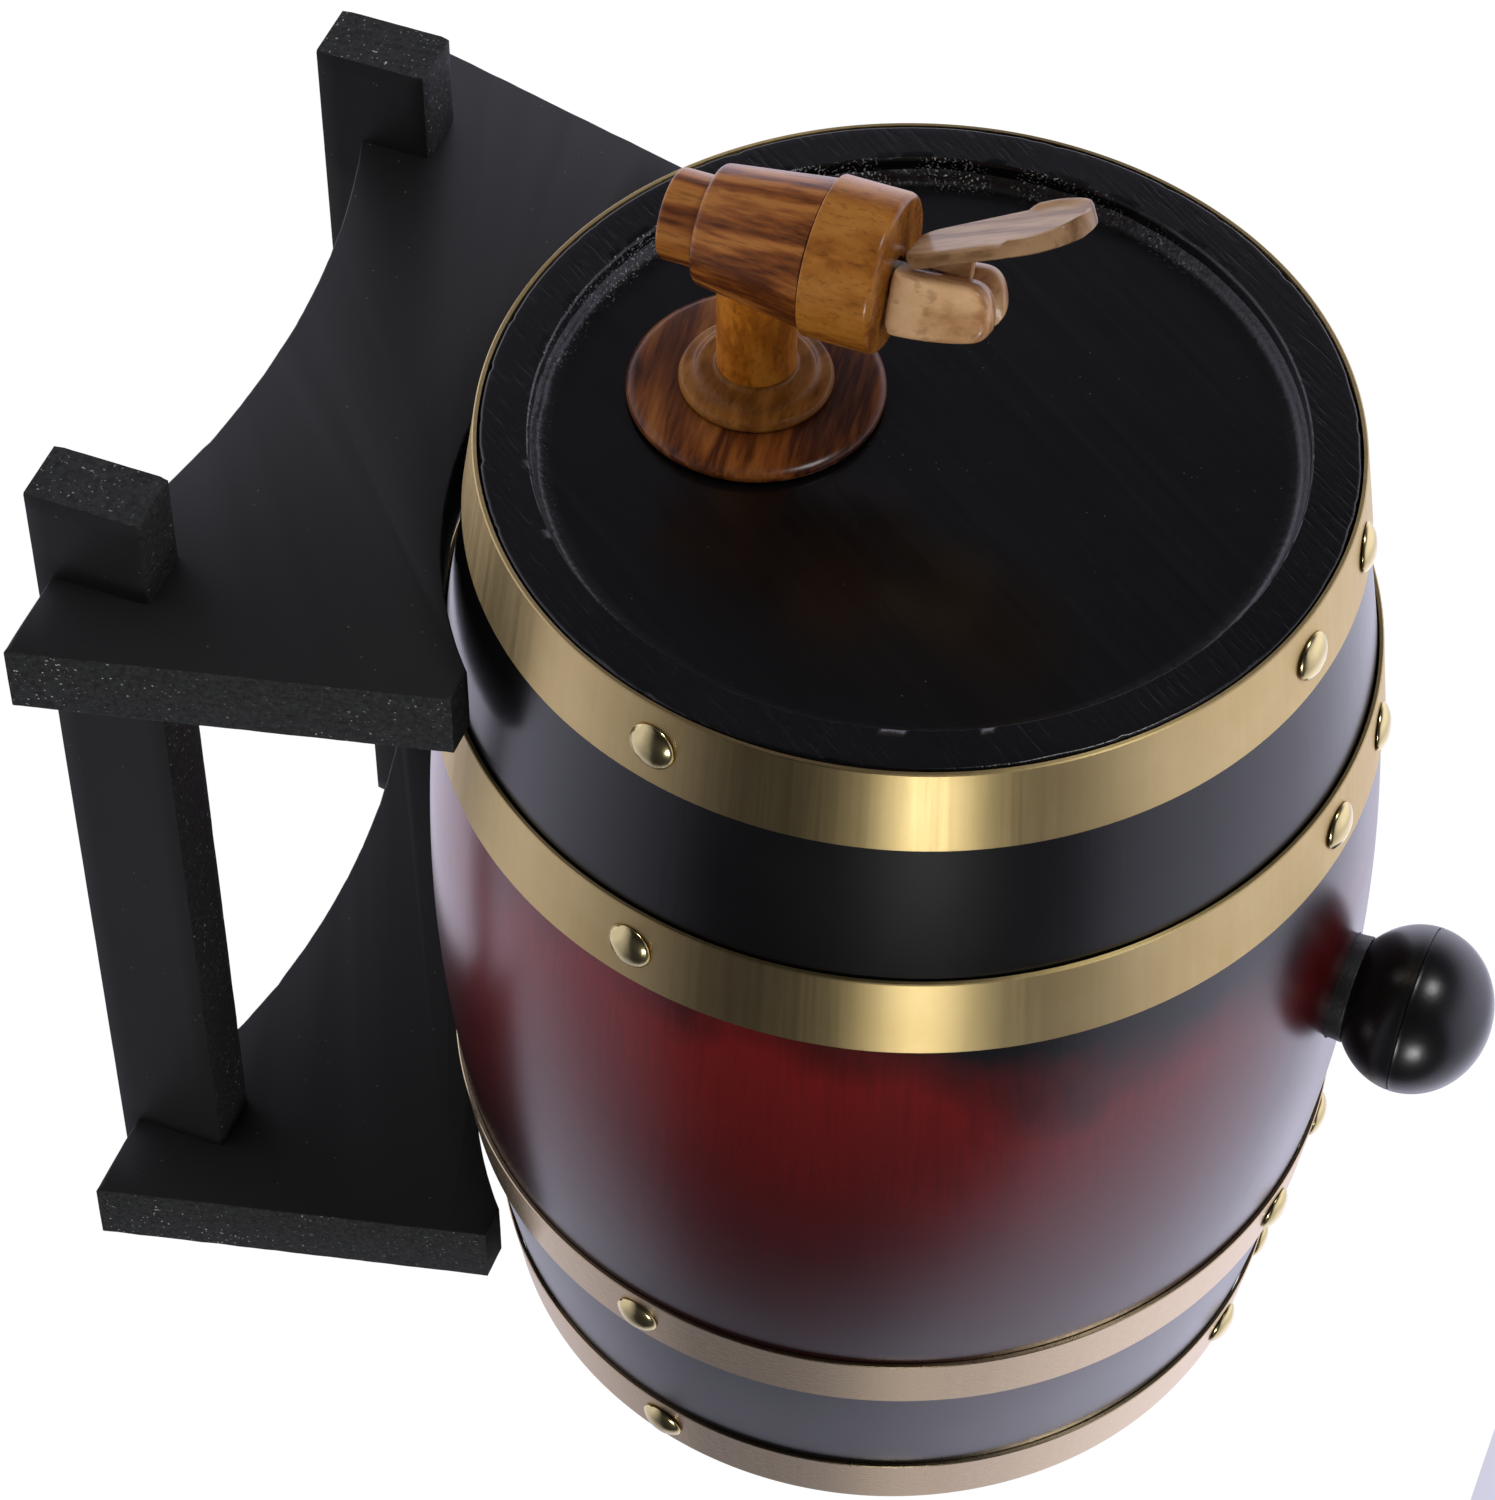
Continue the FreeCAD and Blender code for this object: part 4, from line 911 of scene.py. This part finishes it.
def build_lever():
    """Two pieces: rounded cheeks with a thin web, and a thumb paddle with a raised rim round its end."""
    bm = bmesh.new()
    # cheeks: smooth outline in (q, z), crowned outwards
    outline = [(-9.4, -5.0), (-9.3, -2.0), (-8.6, 3.5), (-7.4, 9.0), (-6.2, 12.2), (-4.4, 13.7),
        (-1.8, 13.9), (1.6, 13.0), (3.6, 11.6), (4.5, 9.4), (4.2, 5.5), (3.6, 0.0), (3.3, -5.0), (2.6, -6.2),
        (-3.0, -6.35), (-7.0, -6.3), (-8.6, -5.7)]
    smooth = smooth_loop(outline, 5)
    mid_q, mid_z = -2.5, 3.6
    for side in (1, -1):
        rows = []
        for s, k in ((2.45, 0.985), (2.6, 1.0), (4.6, 1.0), (5.8, 0.985), (6.55, 0.945), (7.0, 0.87),
                (7.15, 0.76), (7.17, 0.50)):
            rows.append([lever_point(mid_q + (q - mid_q) * k, side * s, mid_z + (z - mid_z) * k) for q,
                    z in smooth])
        if side < 0:
            rows = [list(reversed(r)) for r in rows]
        loft(bm, rows)
    # bridge behind and web in front, thin plates between cheeks and paddle
    add_prism(bm, [(-6.9, 3.7), (-4.3, 3.7), (-4.3, 10.7), (-5.6, 10.7)], -2.5, 2.5)
    add_prism(bm, [(-4.6, 3.7), (3.9, 3.7), (3.9, -4.8), (5.6, -4.8), (11.0, 7.4), (-4.6, 7.4)], -1.5, 1.5)
    new_piece("tap_lever_cheeks", bm, "tan_print", "lever", ["tap_lever"], angle=48)
    # paddle
    bm = bmesh.new()
    tilt = math.radians(25.5)
    root = (6.8, -5.0)
    along = (math.sin(tilt), math.cos(tilt))
    out = (math.cos(tilt), -math.sin(tilt))
    length, w0, w1, thick = 36.0, 7.5, 11.0, 3.0
    rows = []
    nu = 22
    stations = [0.0, 0.25, 0.8, 1.8, 3.5, 6, 9, 12, 15, 18, 20.4, 21.6, 22.6, 24, 26, 28, 30, 31.5, 32.8,
        33.8, 34.6, 35.2, 35.6, 35.85]

    def half_width(t):
        centre = length - w1
        if t <= centre:
            w = w0 + (w1 - w0) * t / centre
            if t < 4.0:
                w -= 4.0 - math.sqrt(max(0, 16.0 - (4.0 - t) ** 2))
            return w
        return math.sqrt(max(0.0, w1 ** 2 - (t - centre) ** 2))

    def lip(t, s):
        centre = length - w1
        if t < 20.5:
            return 0.0
        edge = (w1 - math.hypot(s, t - centre)) if t > centre else (half_width(t) - abs(s))
        rise = max(0.0, min(1.0, (t - 20.6) / 1.6))
        return 1.15 * rise * max(0.0, min(1.0, 1.15 - edge / 1.9)) ** 0.8

    grid_front, grid_back = [], []
    for t in stations:
        w = max(half_width(t), 0.9) - 0.06
        front_row, back_row = [], []
        for i in range(nu + 1):
            u = -1 + 2 * i / nu
            u = math.copysign(abs(u) ** 0.72, u)
            s = u * w
            edge = abs(u)
            round_off = 0.55 * max(0, (edge - 0.86) / 0.14) ** 2
            d_front = lip(t, s) - round_off - 0.10 * (1 - edge ** 2)
            d_back = -thick + round_off
            if t > 34.6:
                d_front -= 0.25 * (t - 34.6)
                d_back += 0.30 * (t - 34.6)
            if t < 0.8:
                d_front -= 0.4 * (0.8 - t)
                d_back += 0.4 * (0.8 - t)
            for d, row in ((d_front, front_row), (d_back, back_row)):
                q = root[0] + along[0] * t + out[0] * d
                z = root[1] + along[1] * t + out[1] * d
                row.append(bm.verts.new(lever_point(q, s, z)))
        grid_front.append(front_row)
        grid_back.append(back_row)
    for g in (grid_front, grid_back):
        for a, b in zip(g, g[1:]):
            for i in range(nu):
                bm.faces.new((a[i], a[i + 1], b[i + 1], b[i]))
    for f, b in ((grid_front[0], grid_back[0]), (grid_front[-1], grid_back[-1])):
        for i in range(nu):
            bm.faces.new((f[i], f[i + 1], b[i + 1], b[i]))
    for i in (0, nu):
        for j in range(len(stations) - 1):
            bm.faces.new((grid_front[j][i], grid_front[j + 1][i], grid_back[j + 1][i], grid_back[j][i]))
    new_piece("tap_lever_paddle", bm, "tan_print", "lever", material="paddle_print", angle=48)


def smooth_loop(points, steps):
    """Closed Catmull-Rom curve through the points."""
    out = []
    n = len(points)
    for i in range(n):
        p0, p1, p2, p3 = (Vector(points[(i + k) % n]) for k in (-1, 0, 1, 2))
        for j in range(steps):
            t = j / steps
            v = 0.5 * ((2 * p1) + (p2 - p0) * t + (2 * p0 - 5 * p1 + 4 * p2 - p3) * t ** 2
                + (3 * p1 - p0 - 3 * p2 + p3) * t ** 3)
            out.append((v.x, v.y))
    return out


def add_prism(bm, outline, s0, s1):
    """Plate with softened edges, outline in (q, z)."""
    cq = sum(p[0] for p in outline) / len(outline)
    cz = sum(p[1] for p in outline) / len(outline)
    rows = []
    for s, k in ((s0, 0.95), (s0 + 0.25, 1.0), (s1 - 0.25, 1.0), (s1, 0.95)):
        rows.append([lever_point(cq + (q - cq) * k, s, cz + (z - cz) * k) for q, z in outline])
    loft(bm, rows)


def build_stem():
    """Pale stem: round below, flat tongue between the lever's cheeks."""
    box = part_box("valve_stem")
    low = (box[0].z - AXIS_Z) / MM
    bm = bmesh.new()
    rows = []
    for h, r in ((low, 3.05), (low + 1.2, 3.05), (low + 1.2, 2.1), (low + 2.7, 2.1), (low + 2.7, 3.05),
            (-9.1, 3.05)):
        rows.append([lever_point(r * math.cos(2 * math.pi * k / 40), r * math.sin(2 * math.pi * k / 40), h)
                for k in range(40)])
    for h, q, s in ((-8.9, 2.36, 1.96), (-3.0, 2.36, 1.96), (0.2, 2.36, 1.96), (1.0, 1.9, 1.9),
            (1.5, 1.1, 1.7)):
        rows.append(superellipse_row(lever_point(0, 0, h), F, S, q * MM, s * MM, 7 if h < 0.5 else 4, 40))
    loft(bm, rows)
    new_piece("valve_stem_moulded", bm, "pale_plastic", "tap_stem", ["valve_stem"], angle=40)


build_shell()
build_head("front", -1)
build_head("rear", 1)
for hoop in ("front_chime_hoop", "front_quarter_hoop", "rear_quarter_hoop", "rear_chime_hoop"):
    build_hoop(hoop)
    build_tacks(hoop)
build_bung()
for plate in ("front_plate", "rear_plate"):
    build_plate(plate)
for rail in ("left_rail", "right_rail"):
    build_rail(rail)
build_tap()
build_lever()
build_stem()

# CAD nodes that are shown as they are, and the hidden ones, take their slot's material
slots = {s["node"]: s["material_slot"] for s in frame["record"]["subparts"]}
for name, obj in nodes.items():
    obj.data.materials.clear()
    obj.data.materials.append(M[slots[name]])


# ---- floor, light and camera ----
VIEW = Vector((-0.5960492132, 0.7697814161, -0.2283898135))
RIGHT = Vector((-0.3639960069, -0.0055091827, 0.9313842149))
DOWN = Vector((0.7157040187, 0.6382838086, 0.2834811057))
CENTRE = Vector((0, 0, (cad_low.z + cad_high.z) / 2))


def build_floor():
    bm = bmesh.new()
    bmesh.ops.create_grid(bm, x_segments=2, y_segments=2, size=6.0)
    mesh = bpy.data.meshes.new("floor")
    bm.to_mesh(mesh)
    bm.free()
    floor = bpy.data.objects.new("floor", mesh)
    floor.location.z = cad_low.z - 0.0002
    bpy.context.scene.collection.objects.link(floor)
    m = Mat("floor_white")
    m.set(base_color=(0.02, 0.02, 0.02), roughness=0.9, specular_ior_level=0.0,
          emission_color=(1.0, 1.0, 1.0), emission_strength=1.0)
    mesh.materials.append(m.material)
    floor.visible_glossy = False


def build_world():
    """Studio: bright walls on two sides, a dark room on the viewer's side, pale light behind the rear head."""
    world = bpy.data.worlds.new("studio")
    bpy.context.scene.world = world
    world.use_nodes = True
    m = Mat.__new__(Mat)
    m.tree = world.node_tree
    m.coord = m.tree.nodes.new("ShaderNodeTexCoord").outputs["Generated"]
    x, y, z = m.xyz()

    def level(value, low, high, stops):
        """Linear steps of brightness against one direction component."""
        n = m.tree.nodes.new("ShaderNodeMapRange")
        m.put(n.inputs["Value"], value)
        n.inputs["From Min"].default_value = low
        n.inputs["From Max"].default_value = high
        return m.xyz(m.ramp(n.outputs[0], [((p - low) / (high - low), v / 2.5) for p, v in stops]))[0]

    left = level(x, -1, 1, [(-0.6, 1.6), (-0.2, 1.5), (0.0, 1.3), (0.2, 1.08), (0.30, 0.90), (0.37, 0.55),
            (0.42, 0.22), (0.48, 0.05)])
    fade = level(y, -1, 1, [(-0.74, 0.042 * 2.5), (-0.60, 0.15 * 2.5), (-0.20, 1.0 * 2.5), (0.15, 1.0 * 2.5),
            (0.50, 0.66 * 2.5), (0.80, 0.95 * 2.5)])
    left = m.math("MULTIPLY", left, fade)
    hollow = level(z, -1, 1, [(-0.60, 0.62), (-0.38, 1.05), (-0.27, 1.75), (-0.10, 1.65), (0.06, 0.87),
            (0.20, 0.0)])
    reach = level(y, 0, 1, [(0.66, 0.0), (0.75, 1.25), (0.82, 2.5), (0.93, 2.5), (0.98, 1.25)])
    left = m.math("MULTIPLY", left, m.math("SUBTRACT", 1.0, m.math("MULTIPLY", hollow, reach)))
    lean = m.math("MULTIPLY", m.math("MAXIMUM", m.math("SUBTRACT", y, 0.7), 0.0), 0.45)
    right = level(m.math("SUBTRACT", lean, z), -1, 1, [(0.36, 0.02), (0.43, 0.20), (0.50, 0.34),
            (0.60, 0.50), (0.70, 0.72), (0.80, 1.0)])
    under = level(y, 0, 1, [(0.90, 0.012), (0.92, 0.03), (0.945, 0.24), (0.97, 0.60), (1.0, 0.76)])
    total = m.math("MAXIMUM", m.math("MAXIMUM", left, right), under)
    back = m.tree.nodes["Background"]
    back.inputs["Color"].default_value = (0.83, 0.82, 1.0, 1)
    m.put(back.inputs["Strength"], m.math("MULTIPLY", total, 2.85))


def area_light(name, where, size, power):
    data = bpy.data.lights.new(name, "AREA")
    data.shape = "RECTANGLE"
    data.size, data.size_y = size
    data.energy = power
    lamp = bpy.data.objects.new(name, data)
    lamp.location = where
    lamp.rotation_euler = (CENTRE - where).to_track_quat("-Z", "Y").to_euler()
    bpy.context.scene.collection.objects.link(lamp)


build_floor()
build_world()
area_light("overhead softbox", CENTRE + Vector((0.03, -0.89, 0.43)) * 1.5, (0.30, 0.34), 5.5)
area_light("front softbox", CENTRE + Vector((0.90, 0.16, 0.40)) * 1.5, (0.26, 0.34), 7.0)

camera_data = bpy.data.cameras.new("camera")
camera_data.sensor_width = 36
camera_data.lens = 115.95
camera_data.clip_start = 0.05
camera = bpy.data.objects.new("camera", camera_data)
rotation = Matrix((RIGHT, -DOWN, -VIEW)).transposed()
camera.matrix_world = Matrix.Translation(Vector((0.60646, -0.79789, 0.35228))) @ rotation.to_4x4()
bpy.context.scene.collection.objects.link(camera)
bpy.context.scene.camera = camera
bpy.context.scene.view_settings.view_transform = "Standard"
